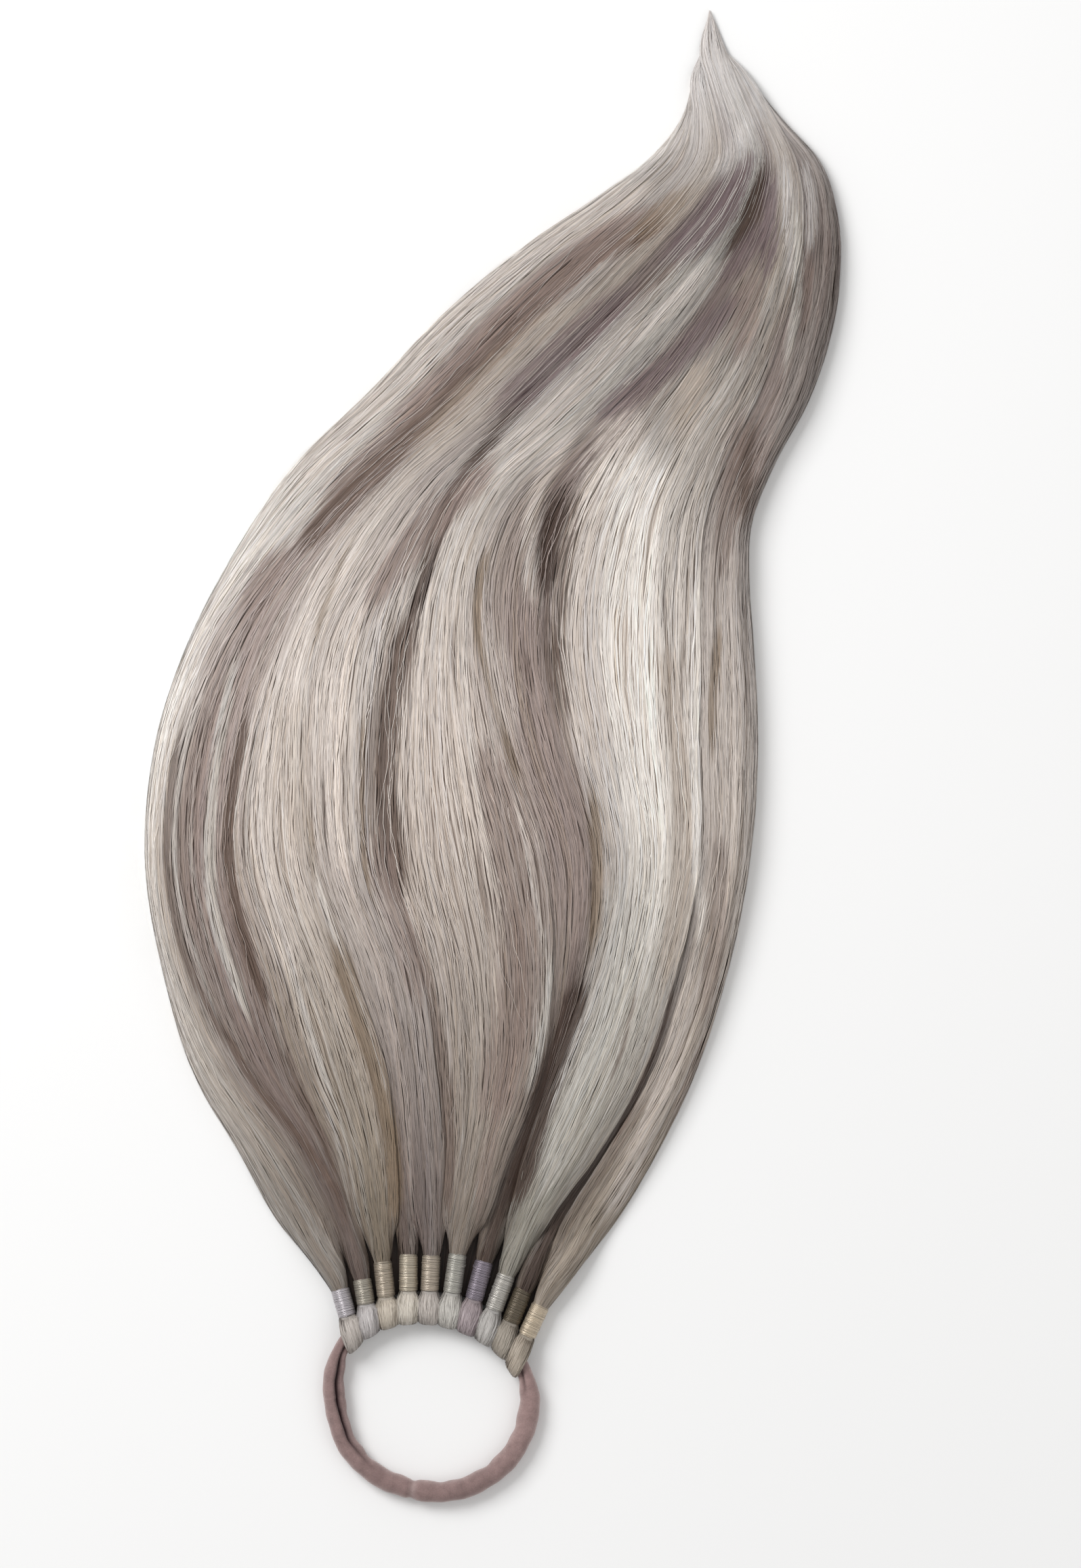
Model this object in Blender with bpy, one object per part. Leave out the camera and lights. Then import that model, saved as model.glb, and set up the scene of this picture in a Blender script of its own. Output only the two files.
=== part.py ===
"""Ponytail hairpiece: ten strands of hair folded over an elastic hair tie and bound above the fold.

It lies flat on a surface. +X is to the right of the tail, +Y runs from the hair tie to the tip, +Z is up.
The origin is the middle of its box, at the surface. Tables are in millimetres.
"""
from collections import namedtuple
from math import cos, pi, radians, sin

import bmesh
import bpy
from mathutils import Vector

MM = 0.001
UP = Vector((0.0, 0.0, 1.0))

# Clearance between neighbouring pieces
GAP = 0.35

# Elastic hair tie: a soft tube, gripped and lifted where the loops hold it
BAND_RADIUS = 3.35
BAND_GRIPPED_RADIUS = 2.5
BAND_SIDES = 10
BAND_SECTIONS = 50
BAND_EASE = 9.0
BAND_GRIP_MARGIN = 3.0

# Loops of hair round the elastic
LOOP_FIRST_AT = 23.5
LOOP_PITCH = 6.95
LOOP_WIDTH = 6.4
LOOP_END_WIDTH = 5.2
LOOP_HOLE_RADIUS = 3.15
LOOP_THICKNESS = 1.6
LOOP_NECK_THICKNESS = 1.1
LOOP_AXIS_HEIGHT = 4.95
LOOP_STEPS = 14
# Section of a loop: sideways in half widths, outward in thicknesses
LOOP_OUTLINE = (
    (-1.0, 0.25),
    (-0.8, 0.0),
    (0.8, 0.0),
    (1.0, 0.25),
    (1.0, 0.7),
    (0.65, 1.0),
    (-0.65, 1.0),
    (-1.0, 0.7),
)
RING_BEND_RADIUS = 31.0

# Necks and the thread bound round them
NECK_RADIUS = 2.1
NECK_TOP_HEIGHT = 4.2
BINDING_RADIUS = 3.2
BINDING_LIP_RADIUS = 3.0
BINDING_LIP_SHARE = 0.12
BINDING_HOLE_RADIUS = 2.45
BINDING_SIDES = 14
HAIR_AT_BINDING_RADIUS = 3.0

# Tails: flat below, crowned above, highest along the middle of the spread
SECTION_TOP_STEPS = 7
SECTION_BOTTOM_STEPS = 3
SECTION_ROUNDNESS = 2.6
NECK_ARC = radians(240.0)
SPREAD_EDGE_DROP = 0.55
SPREAD_EDGE_POWER = 2.4
FLARE_AT = 0.38
FLARE_WIDTH_SHARE = 0.3
TIP_WIDTH = 0.6
TIP_HEIGHT = 1.6
SMOOTHED_FROM = 2
SMOOTHED_TO = 12

# Middle line of the elastic, clockwise from its left side, as seen from above
BandPoint = namedtuple("BandPoint", "x y")
BAND_LINE = (
    BandPoint(-54.2, -216.5),
    BandPoint(-53.7, -205.5),
    BandPoint(-49.8, -196.8),
    BandPoint(-42.0, -190.6),
    BandPoint(-32.3, -187.3),
    BandPoint(-22.4, -186.9),
    BandPoint(-12.1, -189.0),
    BandPoint(-2.6, -193.3),
    BandPoint(5.4, -199.5),
    BandPoint(10.7, -208.3),
    BandPoint(12.3, -218.8),
    BandPoint(9.1, -231.0),
    BandPoint(0.8, -241.4),
    BandPoint(-12.1, -247.8),
    BandPoint(-26.3, -247.8),
    BandPoint(-40.4, -242.3),
    BandPoint(-50.3, -231.5),
)

# Each strand: top of its binding, the binding's length, how high its tail rides, its last full station
Strand = namedtuple("Strand", "bind_x bind_y bind_length rise last")
STRANDS = (
    Strand(-52.3, -179.3, 10.0, 1.00, 14),
    Strand(-44.8, -176.0, 9.0, 0.94, 15),
    Strand(-37.8, -169.9, 12.6, 1.00, 15),
    Strand(-28.9, -167.6, 12.9, 0.84, 16),
    Strand(-21.1, -167.8, 12.7, 0.93, 16),
    Strand(-12.1, -167.3, 13.9, 1.06, 16),
    Strand(-3.1, -169.9, 13.9, 0.84, 15),
    Strand(4.5, -174.5, 13.2, 1.06, 15),
    Strand(10.2, -179.7, 12.2, 0.74, 13),
    Strand(16.2, -184.8, 12.0, 1.00, 14),
)

# Lines across the tail, from hair tie to tip: outline at the left and right, height of the crown,
# and the nine seams between the strands as percentages of the width from the left.
# A strand's two seams come together at the station after its last.
Station = namedtuple("Station", "left_x left_y right_x right_y crown seams")
STATIONS = (
    Station(-74.2, -155.6, 41.5, -157.0, 9.0, (16.3, 24.1, 35.2, 41.2, 50.1, 61.0, 68.8, 79.5, 85.1)),
    Station(-86.6, -133.1, 56.2, -132.6, 12.0, (12.9, 23.4, 37.0, 40.2, 50.2, 64.1, 68.9, 85.2, 88.2)),
    Station(-101.5, -107.3, 68.9, -106.1, 15.0, (8.5, 21.5, 38.0, 40.8, 49.9, 68.6, 71.7, 89.0, 91.6)),
    Station(-112.1, -72.8, 79.5, -72.8, 19.0, (4.8, 19.3, 33.7, 38.3, 47.9, 68.5, 75.5, 90.5, 92.8)),
    Station(-118.4, -34.4, 87.5, -32.5, 22.0, (4.0, 15.6, 27.9, 32.1, 42.1, 65.5, 76.4, 91.0, 93.2)),
    Station(-115.3, 4.3, 90.0, 5.4, 23.0, (4.2, 16.0, 25.2, 29.5, 40.7, 58.0, 71.2, 90.0, 92.0)),
    Station(-102.5, 43.4, 88.7, 37.6, 23.0, (5.8, 16.5, 22.7, 27.9, 38.9, 52.1, 66.8, 89.8, 91.9)),
    Station(-88.7, 69.8, 87.1, 60.6, 22.5, (9.4, 17.5, 24.5, 29.3, 37.8, 49.0, 66.1, 89.7, 92.1)),
    Station(-68.7, 99.7, 87.7, 80.2, 22.0, (14.7, 21.2, 26.8, 31.0, 37.2, 49.0, 65.5, 89.3, 92.1)),
    Station(-43.4, 124.5, 95.1, 99.7, 21.0, (18.3, 24.9, 30.7, 34.9, 39.8, 53.5, 64.0, 88.0, 91.0)),
    Station(-15.5, 153.5, 108.4, 125.0, 19.5, (20.0, 27.5, 34.1, 38.7, 43.5, 58.0, 65.0, 86.2, 89.3)),
    Station(12.3, 176.5, 117.6, 160.0, 17.0, (22.0, 30.7, 38.0, 43.4, 49.0, 61.5, 68.2, 84.8, 88.0)),
    Station(37.1, 193.1, 117.5, 184.0, 14.0, (22.5, 32.3, 40.0, 46.2, 52.5, 63.0, 70.0, 83.8, 87.2)),
    Station(55.5, 207.3, 111.7, 203.2, 10.5, (20.0, 31.0, 40.0, 47.0, 54.0, 64.0, 71.5, 83.0, 86.8)),
    Station(64.3, 219.3, 99.2, 217.5, 7.5, (12.0, 23.0, 34.0, 44.0, 55.0, 66.0, 77.0, 89.0, 89.0)),
    Station(67.9, 232.6, 86.1, 233.3, 5.5, (0.0, 12.0, 26.0, 40.0, 56.0, 73.0, 87.0, 100.0, 100.0)),
    Station(70.8, 241.8, 78.1, 242.3, 3.5, (0.0, 0.0, 0.0, 25.0, 72.0, 100.0, 100.0, 100.0, 100.0)),
    Station(73.5, 255.5, 73.7, 255.5, 1.5, (0.0, 0.0, 0.0, 25.0, 72.0, 100.0, 100.0, 100.0, 100.0)),
)

# Finishes: colour, roughness
Finish = namedtuple("Finish", "colour roughness")
BAND_FINISH = Finish((0.30, 0.22, 0.21), 0.9)
HAIR_FINISHES = (
    Finish((0.58, 0.53, 0.49), 0.45),
    Finish((0.34, 0.29, 0.28), 0.45),
    Finish((0.55, 0.48, 0.40), 0.45),
    Finish((0.36, 0.30, 0.27), 0.45),
    Finish((0.50, 0.44, 0.38), 0.45),
    Finish((0.66, 0.59, 0.52), 0.45),
    Finish((0.32, 0.26, 0.25), 0.45),
    Finish((0.68, 0.64, 0.58), 0.45),
    Finish((0.20, 0.16, 0.13), 0.45),
    Finish((0.42, 0.35, 0.30), 0.45),
)
BINDING_FINISHES = (
    Finish((0.60, 0.56, 0.58), 0.4),
    Finish((0.46, 0.43, 0.38), 0.4),
    Finish((0.52, 0.46, 0.38), 0.4),
    Finish((0.56, 0.50, 0.40), 0.4),
    Finish((0.48, 0.43, 0.37), 0.4),
    Finish((0.50, 0.50, 0.46), 0.4),
    Finish((0.44, 0.38, 0.44), 0.4),
    Finish((0.52, 0.51, 0.48), 0.4),
    Finish((0.16, 0.14, 0.10), 0.4),
    Finish((0.56, 0.48, 0.36), 0.4),
)


def clear_scene():
    for existing in list(bpy.data.objects):
        bpy.data.objects.remove(existing, do_unlink=True)


def make_material(name, finish):
    material = bpy.data.materials.new(name)
    material.use_nodes = True
    shader = material.node_tree.nodes["Principled BSDF"]
    shader.inputs["Base Color"].default_value = (*finish.colour, 1.0)
    shader.inputs["Roughness"].default_value = finish.roughness
    shader.inputs["Metallic"].default_value = 0.0
    return material


def add_object(name, body, finish=None):
    """Turn a bmesh in millimetres into a named object in metres."""
    bmesh.ops.scale(body, vec=(MM, MM, MM), verts=body.verts)
    bmesh.ops.recalc_face_normals(body, faces=body.faces)
    mesh = bpy.data.meshes.new(name)
    body.to_mesh(mesh)
    body.free()
    mesh.shade_smooth()
    mesh.set_sharp_from_angle(angle=radians(50.0))
    result = bpy.data.objects.new(name, mesh)
    bpy.context.scene.collection.objects.link(result)
    if finish is not None:
        mesh.materials.append(make_material(name, finish))
    return result


def mix(start, end, share):
    return start + (end - start) * share


def smooth_step(share):
    share = min(1.0, max(0.0, share))
    return share * share * (3.0 - 2.0 * share)


def loft(rings, closed=False):
    """Skin a row of rings of points; a row that isn't closed gets a cap at each end."""
    body = bmesh.new()
    rows = [[body.verts.new(point) for point in ring] for ring in rings]
    count = len(rows[0])
    pairs = list(zip(rows, rows[1:]))
    if closed:
        pairs.append((rows[-1], rows[0]))
    for near, far in pairs:
        for side in range(count):
            after = (side + 1) % count
            body.faces.new((near[side], near[after], far[after], far[side]))
    if not closed:
        body.faces.new(list(reversed(rows[0])))
        body.faces.new(rows[-1])
    return body


def circle(centre, across, radius, sides):
    """An upright ring of points, with its width along across."""
    turns = (2.0 * pi * side / sides for side in range(sides))
    return [centre + across * (radius * cos(turn)) + UP * (radius * sin(turn)) for turn in turns]


# Elastic

def band_curve(samples_per_span=12):
    """The middle line as a dense closed curve: points and their distance along it."""
    points = [Vector((row.x, row.y, 0.0)) for row in BAND_LINE]
    count = len(points)
    curve = []
    for index in range(count):
        before, start, end, after = (points[(index + step) % count] for step in (-1, 0, 1, 2))
        for sample in range(samples_per_span):
            t = sample / samples_per_span
            curve.append(0.5 * (2.0 * start + (end - before) * t
                                + (2.0 * before - 5.0 * start + 4.0 * end - after) * t ** 2
                                + (3.0 * start - before - 3.0 * end + after) * t ** 3))
    lengths = [0.0]
    for here, there in zip(curve, curve[1:] + curve[:1]):
        lengths.append(lengths[-1] + (there - here).length)
    return curve, lengths


BAND_CURVE, BAND_LENGTHS = band_curve()


def band_point(distance):
    """Point and direction on the middle line, at a distance from its first point."""
    distance %= BAND_LENGTHS[-1]
    index = max(i for i, length in enumerate(BAND_LENGTHS[:-1]) if length <= distance)
    here = BAND_CURVE[index]
    there = BAND_CURVE[(index + 1) % len(BAND_CURVE)]
    share = (distance - BAND_LENGTHS[index]) / (there - here).length
    return mix(here, there, share), (there - here).normalized()


def band_grip(distance):
    """1 under the loops, easing to 0 where the elastic lies free."""
    first = LOOP_FIRST_AT - LOOP_PITCH / 2.0 - BAND_GRIP_MARGIN
    last = LOOP_FIRST_AT + LOOP_PITCH * (len(STRANDS) - 0.5) + BAND_GRIP_MARGIN
    outside = max(first - distance, distance - last, 0.0)
    return 1.0 - smooth_step(outside / BAND_EASE)


def build_band():
    rings = []
    for section in range(BAND_SECTIONS):
        distance = BAND_LENGTHS[-1] * section / BAND_SECTIONS
        centre, along = band_point(distance)
        grip = band_grip(distance)
        radius = mix(BAND_RADIUS, BAND_GRIPPED_RADIUS, grip)
        height = mix(BAND_RADIUS, LOOP_AXIS_HEIGHT, grip)
        across = along.cross(UP)
        rings.append(circle(centre + UP * height, across, radius, BAND_SIDES))
    return add_object("elastic_band", loft(rings, closed=True), BAND_FINISH)


# Loops, necks and bindings

Seat = namedtuple("Seat", "middle along outward shift loop_end bottom top axis")


def strand_seat(index):
    """Where strand number index holds the elastic, and the axis of its binding."""
    row = STRANDS[index]
    middle, along = band_point(LOOP_FIRST_AT + LOOP_PITCH * index)
    middle = middle + UP * LOOP_AXIS_HEIGHT
    outward = UP.cross(along)
    top = Vector((row.bind_x, row.bind_y, NECK_TOP_HEIGHT))
    axis = (top - middle).normalized()
    bottom = top - axis * row.bind_length
    shift = axis.dot(along) / axis.dot(outward)
    loop_length = (bottom - middle).length - GAP - LOOP_END_WIDTH / 2.0 * abs(axis.dot(along))
    return Seat(middle, along, outward, shift, loop_length * axis.dot(outward), bottom, top, axis)


def loop_ring(seat, turn):
    """One section of the loop, at an angle round the elastic from the neck's side."""
    toward_neck = max(0.0, cos(turn)) ** 3
    half_width = 0.5 * mix(LOOP_WIDTH, LOOP_END_WIDTH, toward_neck)
    base = mix(LOOP_HOLE_RADIUS, seat.loop_end - LOOP_NECK_THICKNESS, toward_neck)
    thickness = mix(LOOP_THICKNESS, LOOP_NECK_THICKNESS, toward_neck)
    ring = []
    for side, depth in LOOP_OUTLINE:
        radius = base + thickness * depth
        out = radius * cos(turn)
        wedge = min(1.0, 1.0 + out / RING_BEND_RADIUS)
        ring.append(seat.middle + seat.outward * out + UP * (radius * sin(turn))
                    + seat.along * (out * seat.shift + side * half_width * wedge))
    return ring


def build_loop(name, seat):
    rings = [loop_ring(seat, 2.0 * pi * step / LOOP_STEPS) for step in range(LOOP_STEPS)]
    loop = add_object(name, loft(rings, closed=True))
    loop.hide_render = True
    loop.display_type = "WIRE"
    return loop


def build_binding(index):
    seat = strand_seat(index)
    across = seat.axis.cross(UP).normalized()
    length = (seat.top - seat.bottom).length
    outline = (
        (0.0, BINDING_HOLE_RADIUS),
        (0.0, BINDING_LIP_RADIUS),
        (BINDING_LIP_SHARE, BINDING_RADIUS),
        (1.0 - BINDING_LIP_SHARE, BINDING_RADIUS),
        (1.0, BINDING_LIP_RADIUS),
        (1.0, BINDING_HOLE_RADIUS),
    )
    rings = []
    for share, radius in outline:
        centre = seat.bottom + seat.axis * (length * share)
        rings.append(circle(centre, across, radius, BINDING_SIDES))
    return add_object(f"binding_{index + 1:02d}", loft(rings, closed=True), BINDING_FINISHES[index])


# Tails

Section = namedtuple("Section", "left right height_left height_right")


def section_points(section, flatness, underside):
    """A ring from round (flatness 0) to flat below and crowned above (flatness 1)."""
    middle = mix(section.left, section.right, 0.5)
    across = section.right - section.left
    half_width = across.length / 2.0
    across = across.normalized()
    points = []
    for step in range(SECTION_TOP_STEPS + SECTION_BOTTOM_STEPS):
        if step <= SECTION_TOP_STEPS:
            share = step / SECTION_TOP_STEPS
            turn = pi * share
            round_turn = mix(pi / 2.0 + NECK_ARC / 2.0, pi / 2.0 - NECK_ARC / 2.0, share)
            side = -cos(turn)
            side = (1.0 if side >= 0.0 else -1.0) * abs(side) ** (2.0 / SECTION_ROUNDNESS)
            lift = max(0.0, sin(turn)) ** (2.0 / SECTION_ROUNDNESS)
            height = mix(section.height_left, section.height_right, (side + 1.0) / 2.0) * lift
        else:
            share = (step - SECTION_TOP_STEPS) / SECTION_BOTTOM_STEPS
            round_turn = mix(pi / 2.0 - NECK_ARC / 2.0, -1.5 * pi + NECK_ARC / 2.0, share)
            side = 1.0 - 2.0 * share
            height = 0.0
        flat = middle + across * (side * half_width) + UP * height
        half_height = (section.height_left + section.height_right) / 4.0
        rounded = (middle + across * (cos(round_turn) * half_width)
                   + UP * (half_height + sin(round_turn) * half_height))
        points.append(mix(rounded, flat, flatness) + UP * underside)
    return points


def station_point(station, share):
    left = Vector((station.left_x, station.left_y, 0.0))
    right = Vector((station.right_x, station.right_y, 0.0))
    return mix(left, right, share)


def crown_height(station, share):
    return station.crown * (1.0 - SPREAD_EDGE_DROP * abs(2.0 * share - 1.0) ** SPREAD_EDGE_POWER)


def halfway(rows):
    """The number half way along a smooth curve, between the second and third of four in a row."""
    before, start, end, after = rows
    return (9.0 * (start + end) - before - after) / 16.0


def halfway_station(index):
    rows = STATIONS[index - 1:index + 3]
    values = [halfway(column) for column in list(zip(*rows))[:-1]]
    seams = tuple(halfway(column) for column in zip(*(row.seams for row in rows)))
    return Station(*values, seams)


def stations_to(last):
    """The stations up to number last, with one more between each pair along the body of the tail."""
    row = []
    for index in range(last + 1):
        row.append(STATIONS[index])
        if SMOOTHED_FROM <= index < min(SMOOTHED_TO, last):
            row.append(halfway_station(index))
    return row


def strand_edges(station, index):
    """Outer edges of a strand on a station's line, with the crown's height over each."""
    shares = [edge / 100.0 for edge in (0.0, *station.seams, 100.0)[index:index + 2]]
    rise = STRANDS[index].rise
    return [(station_point(station, share), crown_height(station, share) * rise) for share in shares]


def station_section(station, index):
    (left, left_height), (right, right_height) = strand_edges(station, index)
    inset = (right - left).normalized() * (GAP / 2.0)
    return Section(left + inset, right - inset, left_height, right_height)


def tip_section(index):
    """The strand's blunt end, where it has narrowed to its tip width on the way to the next station."""
    last = STRANDS[index].last
    (left, _), (right, _) = strand_edges(STATIONS[last], index)
    (next_left, _), (next_right, _) = strand_edges(STATIONS[last + 1], index)
    share = 1.0 - (TIP_WIDTH + GAP) / (right - left).length
    left = mix(left, next_left, share)
    right = mix(right, next_right, share)
    inset = (right - left).normalized() * (GAP / 2.0)
    return Section(left + inset, right - inset, TIP_HEIGHT, TIP_HEIGHT)


def neck_rings(seat):
    """Round rings from inside the loop, through the binding, to where the hair comes out of it."""
    across = seat.axis.cross(UP).normalized()
    root = seat.middle + (seat.outward + seat.along * seat.shift) * (seat.loop_end - LOOP_NECK_THICKNESS / 2.0)
    places = (
        (root, NECK_RADIUS),
        (seat.bottom - seat.axis * GAP, NECK_RADIUS),
        (seat.top + seat.axis * GAP, NECK_RADIUS),
        (seat.top + seat.axis * GAP, HAIR_AT_BINDING_RADIUS),
    )
    rings = []
    for centre, radius in places:
        half = across * radius
        section = Section(centre - half - UP * centre.z, centre + half - UP * centre.z, 2.0 * radius, 2.0 * radius)
        rings.append(section_points(section, 0.0, centre.z - radius))
    return rings


def flare_ring(seat, first):
    """The ring part way from the binding to the first station, where the hair begins to spread."""
    start = seat.top + seat.axis * GAP - UP * seat.top.z
    goal = mix(first.left, first.right, 0.5)
    centre = mix(start, goal, FLARE_AT)
    neck_across = seat.axis.cross(UP).normalized()
    across = mix(neck_across, (first.right - first.left).normalized(), FLARE_AT).normalized()
    goal_width = (first.right - first.left).length
    half = across * (mix(2.0 * HAIR_AT_BINDING_RADIUS, goal_width, FLARE_WIDTH_SHARE) / 2.0)
    height = mix(2.0 * HAIR_AT_BINDING_RADIUS, (first.height_left + first.height_right) / 2.0, FLARE_AT)
    underside = mix(seat.top.z - HAIR_AT_BINDING_RADIUS, 0.0, FLARE_AT)
    return section_points(Section(centre - half, centre + half, height, height), FLARE_AT, underside)


def build_strand(index):
    name = f"strand_{index + 1:02d}"
    seat = strand_seat(index)
    sections = [station_section(station, index) for station in stations_to(STRANDS[index].last)]
    sections.append(tip_section(index))
    rings = neck_rings(seat)
    rings.append(flare_ring(seat, sections[0]))
    rings += [section_points(section, 1.0, 0.0) for section in sections]
    strand = add_object(name, loft(rings), HAIR_FINISHES[index])
    union = strand.modifiers.new("loop", "BOOLEAN")
    union.operation = "UNION"
    union.solver = "EXACT"
    union.object = build_loop(f"{name}_loop", seat)
    return strand


def main():
    clear_scene()
    build_band()
    for index in range(len(STRANDS)):
        build_strand(index)
        build_binding(index)


main()
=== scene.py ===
from collections import namedtuple
from functools import lru_cache
from math import cos, pi, radians, sin

import bpy
import numpy as np
from bpy.props import FloatProperty, FloatVectorProperty, IntProperty, PointerProperty
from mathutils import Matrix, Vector


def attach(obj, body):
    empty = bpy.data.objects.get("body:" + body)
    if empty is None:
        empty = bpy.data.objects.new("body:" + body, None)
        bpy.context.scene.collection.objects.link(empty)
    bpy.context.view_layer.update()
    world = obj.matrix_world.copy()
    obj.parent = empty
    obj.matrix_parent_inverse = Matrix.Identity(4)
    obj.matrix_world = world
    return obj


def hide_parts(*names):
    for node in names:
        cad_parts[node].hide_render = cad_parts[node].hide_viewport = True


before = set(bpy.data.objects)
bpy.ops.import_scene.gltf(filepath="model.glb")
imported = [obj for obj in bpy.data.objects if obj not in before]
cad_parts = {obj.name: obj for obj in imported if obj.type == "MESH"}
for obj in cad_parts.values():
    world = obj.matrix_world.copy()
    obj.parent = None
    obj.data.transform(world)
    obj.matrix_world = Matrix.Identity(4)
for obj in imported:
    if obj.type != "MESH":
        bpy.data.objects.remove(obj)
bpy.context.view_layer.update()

bl_info = {
    "name": "Ponytail Hairpiece",
    "version": (1, 0, 0),
    "blender": (4, 5, 0),
    "location": "3D View > Sidebar > Hairpiece",
    "description": "Hair, thread bindings and velvet elastic for a ten-strand ponytail hairpiece",
    "category": "Object",
}

# Shapes are worked out in millimetres and made in metres
MM = 0.001
UP = np.array((0.0, 0.0, 1.0))
STRAND_COUNT = 10

# The view from above: millimetres in one of its pixels, and the pixel over the origin
VIEW_PIXEL = 0.23
VIEW_ORIGIN = (728.5, 1123.5)
VIEW_SIZE = (1596, 2315)

# Elastic hair tie: its radius where it lies free and where the loops grip it, and the groove where
# its cover is sewn together
BAND_RADIUS = 3.55
BAND_GRIPPED_RADIUS = 2.5
BAND_EASE = 9.0
BAND_GRIP_MARGIN = 3.0
BAND_SEAM = (-27.3, -247.9)
SEWN_WIDTH = 1.2
SEWN_DEPTH = 0.5
BAND_CURVE_STEPS = 12
BAND_SECTIONS = 420
BAND_SIDES = 40

# Fold of the elastic's cover: its place round the tube, its half width, how it runs out on either
# side of the loops (farthest reach, start and length of the fading), and the shoulder beside it
CREASE_TURN = radians(62.0)
CREASE_WIDTH = 0.21
CREASE_SHADE_WIDTH = 0.35
CREASE_BACK = (70.0, 22.0, 34.0)
CREASE_AHEAD = (40.0, 0.0, 13.0)
SHOULDER_TURN = 0.62
SHOULDER_WIDTH = 0.4
SHOULDER_HEIGHT = 0.35

# Lumps of the elastic: height, rate and phase along it, steady share, and how they go round it
Lump = namedtuple("Lump", "height rate phase steady around turns turn_phase")
LUMPS = (
    Lump(0.20, 0.66, 0.0, 0.4, 0.6, 1.0, -0.3),
    Lump(0.12, 1.03, 2.0, 0.0, 1.0, 1.0, 1.1),
    Lump(0.10, 0.41, 1.0, 0.0, 1.0, 2.0, 0.0),
)

# Places of the loops along the elastic, and the heights of their axis and of the necks
LOOP_FIRST_AT = 23.5
LOOP_PITCH = 6.95
LOOPS_FROM = LOOP_FIRST_AT - LOOP_PITCH / 2.0
LOOPS_TO = LOOP_FIRST_AT + LOOP_PITCH * (STRAND_COUNT - 0.5)
LOOP_AXIS_HEIGHT = 4.95
NECK_TOP_HEIGHT = 4.2

# Shape of a loop: its turns round the elastic in degrees, its half width and how it flares over the
# top, where its sides would meet, its inner radius and thickness, and how it reaches in and up
LOOP_TURNS = (52.0, 75.0, 100.0, 125.0, 150.0, 180.0, 210.0, 240.0, 270.0, 300.0, 322.0)
LOOP_HALF_WIDTH = 3.45
LOOP_FLARE = 0.3
LOOP_WEDGE_RADIUS = 31.0
LOOP_ROUNDNESS = 2.6
LOOP_INNER_RADIUS = 3.3
LOOP_THICKNESS = 1.5
LOOP_REACH_IN = 0.30
LOOP_REACH_UP = 0.10
LOOP_BODY_COLUMNS = 13
LOOP_BODY_ROWS = 60
LOOP_BUNDLE_STEPS = 20
LOOP_BUNDLE_LENGTH = 30.0

# Ends of a loop at its binding: distance along the neck, half width, half height, squareness
LOOP_ENDS = ((1.2, 2.3, 1.9, 0.3), (-0.9, 3.15, 2.9, 0.2))

# Wound thread: radius over it and inside it, the sleeve of turns beneath, the spacing of the turns
# as a share of the thread, and the threads that cross them
WINDING_RADIUS = 3.2
WINDING_BORE = 2.5
SLEEVE_INSET = 0.35
SLEEVE_END = 0.25
SLEEVE_SIDES = 32
SLEEVE_SHADE = 0.5
THREAD_SPACING = 0.86
THREAD_STEPS = 18
THREAD_SIDES = 5
CROSSING_THREADS = 3
CROSSING_STEPS = 30
CROSSING_SIDES = 6

# Middle line of the elastic, clockwise from its left side
BAND_LINE = (
    (-54.2, -216.5),
    (-53.7, -205.5),
    (-49.8, -196.8),
    (-42.0, -190.6),
    (-32.3, -187.3),
    (-22.4, -186.9),
    (-12.1, -189.0),
    (-2.6, -193.3),
    (5.4, -199.5),
    (10.7, -208.3),
    (12.3, -218.8),
    (9.1, -231.0),
    (0.8, -241.4),
    (-12.1, -247.8),
    (-26.3, -247.8),
    (-40.4, -242.3),
    (-50.3, -231.5),
)

# Each strand: top of its binding, the binding's length, how high its tail rides, its last station
Strand = namedtuple("Strand", "bind_x bind_y bind_length rise last")
STRANDS = (
    Strand(-52.3, -179.3, 10.0, 1.00, 14),
    Strand(-44.8, -176.0, 9.0, 0.94, 15),
    Strand(-37.8, -169.9, 12.6, 1.00, 15),
    Strand(-28.9, -167.6, 12.9, 0.84, 16),
    Strand(-21.1, -167.8, 12.7, 0.93, 16),
    Strand(-12.1, -167.3, 13.9, 1.06, 16),
    Strand(-3.1, -169.9, 13.9, 0.84, 15),
    Strand(4.5, -174.5, 13.2, 1.06, 15),
    Strand(10.2, -179.7, 12.2, 0.74, 13),
    Strand(16.2, -184.8, 12.0, 1.00, 14),
)

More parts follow.
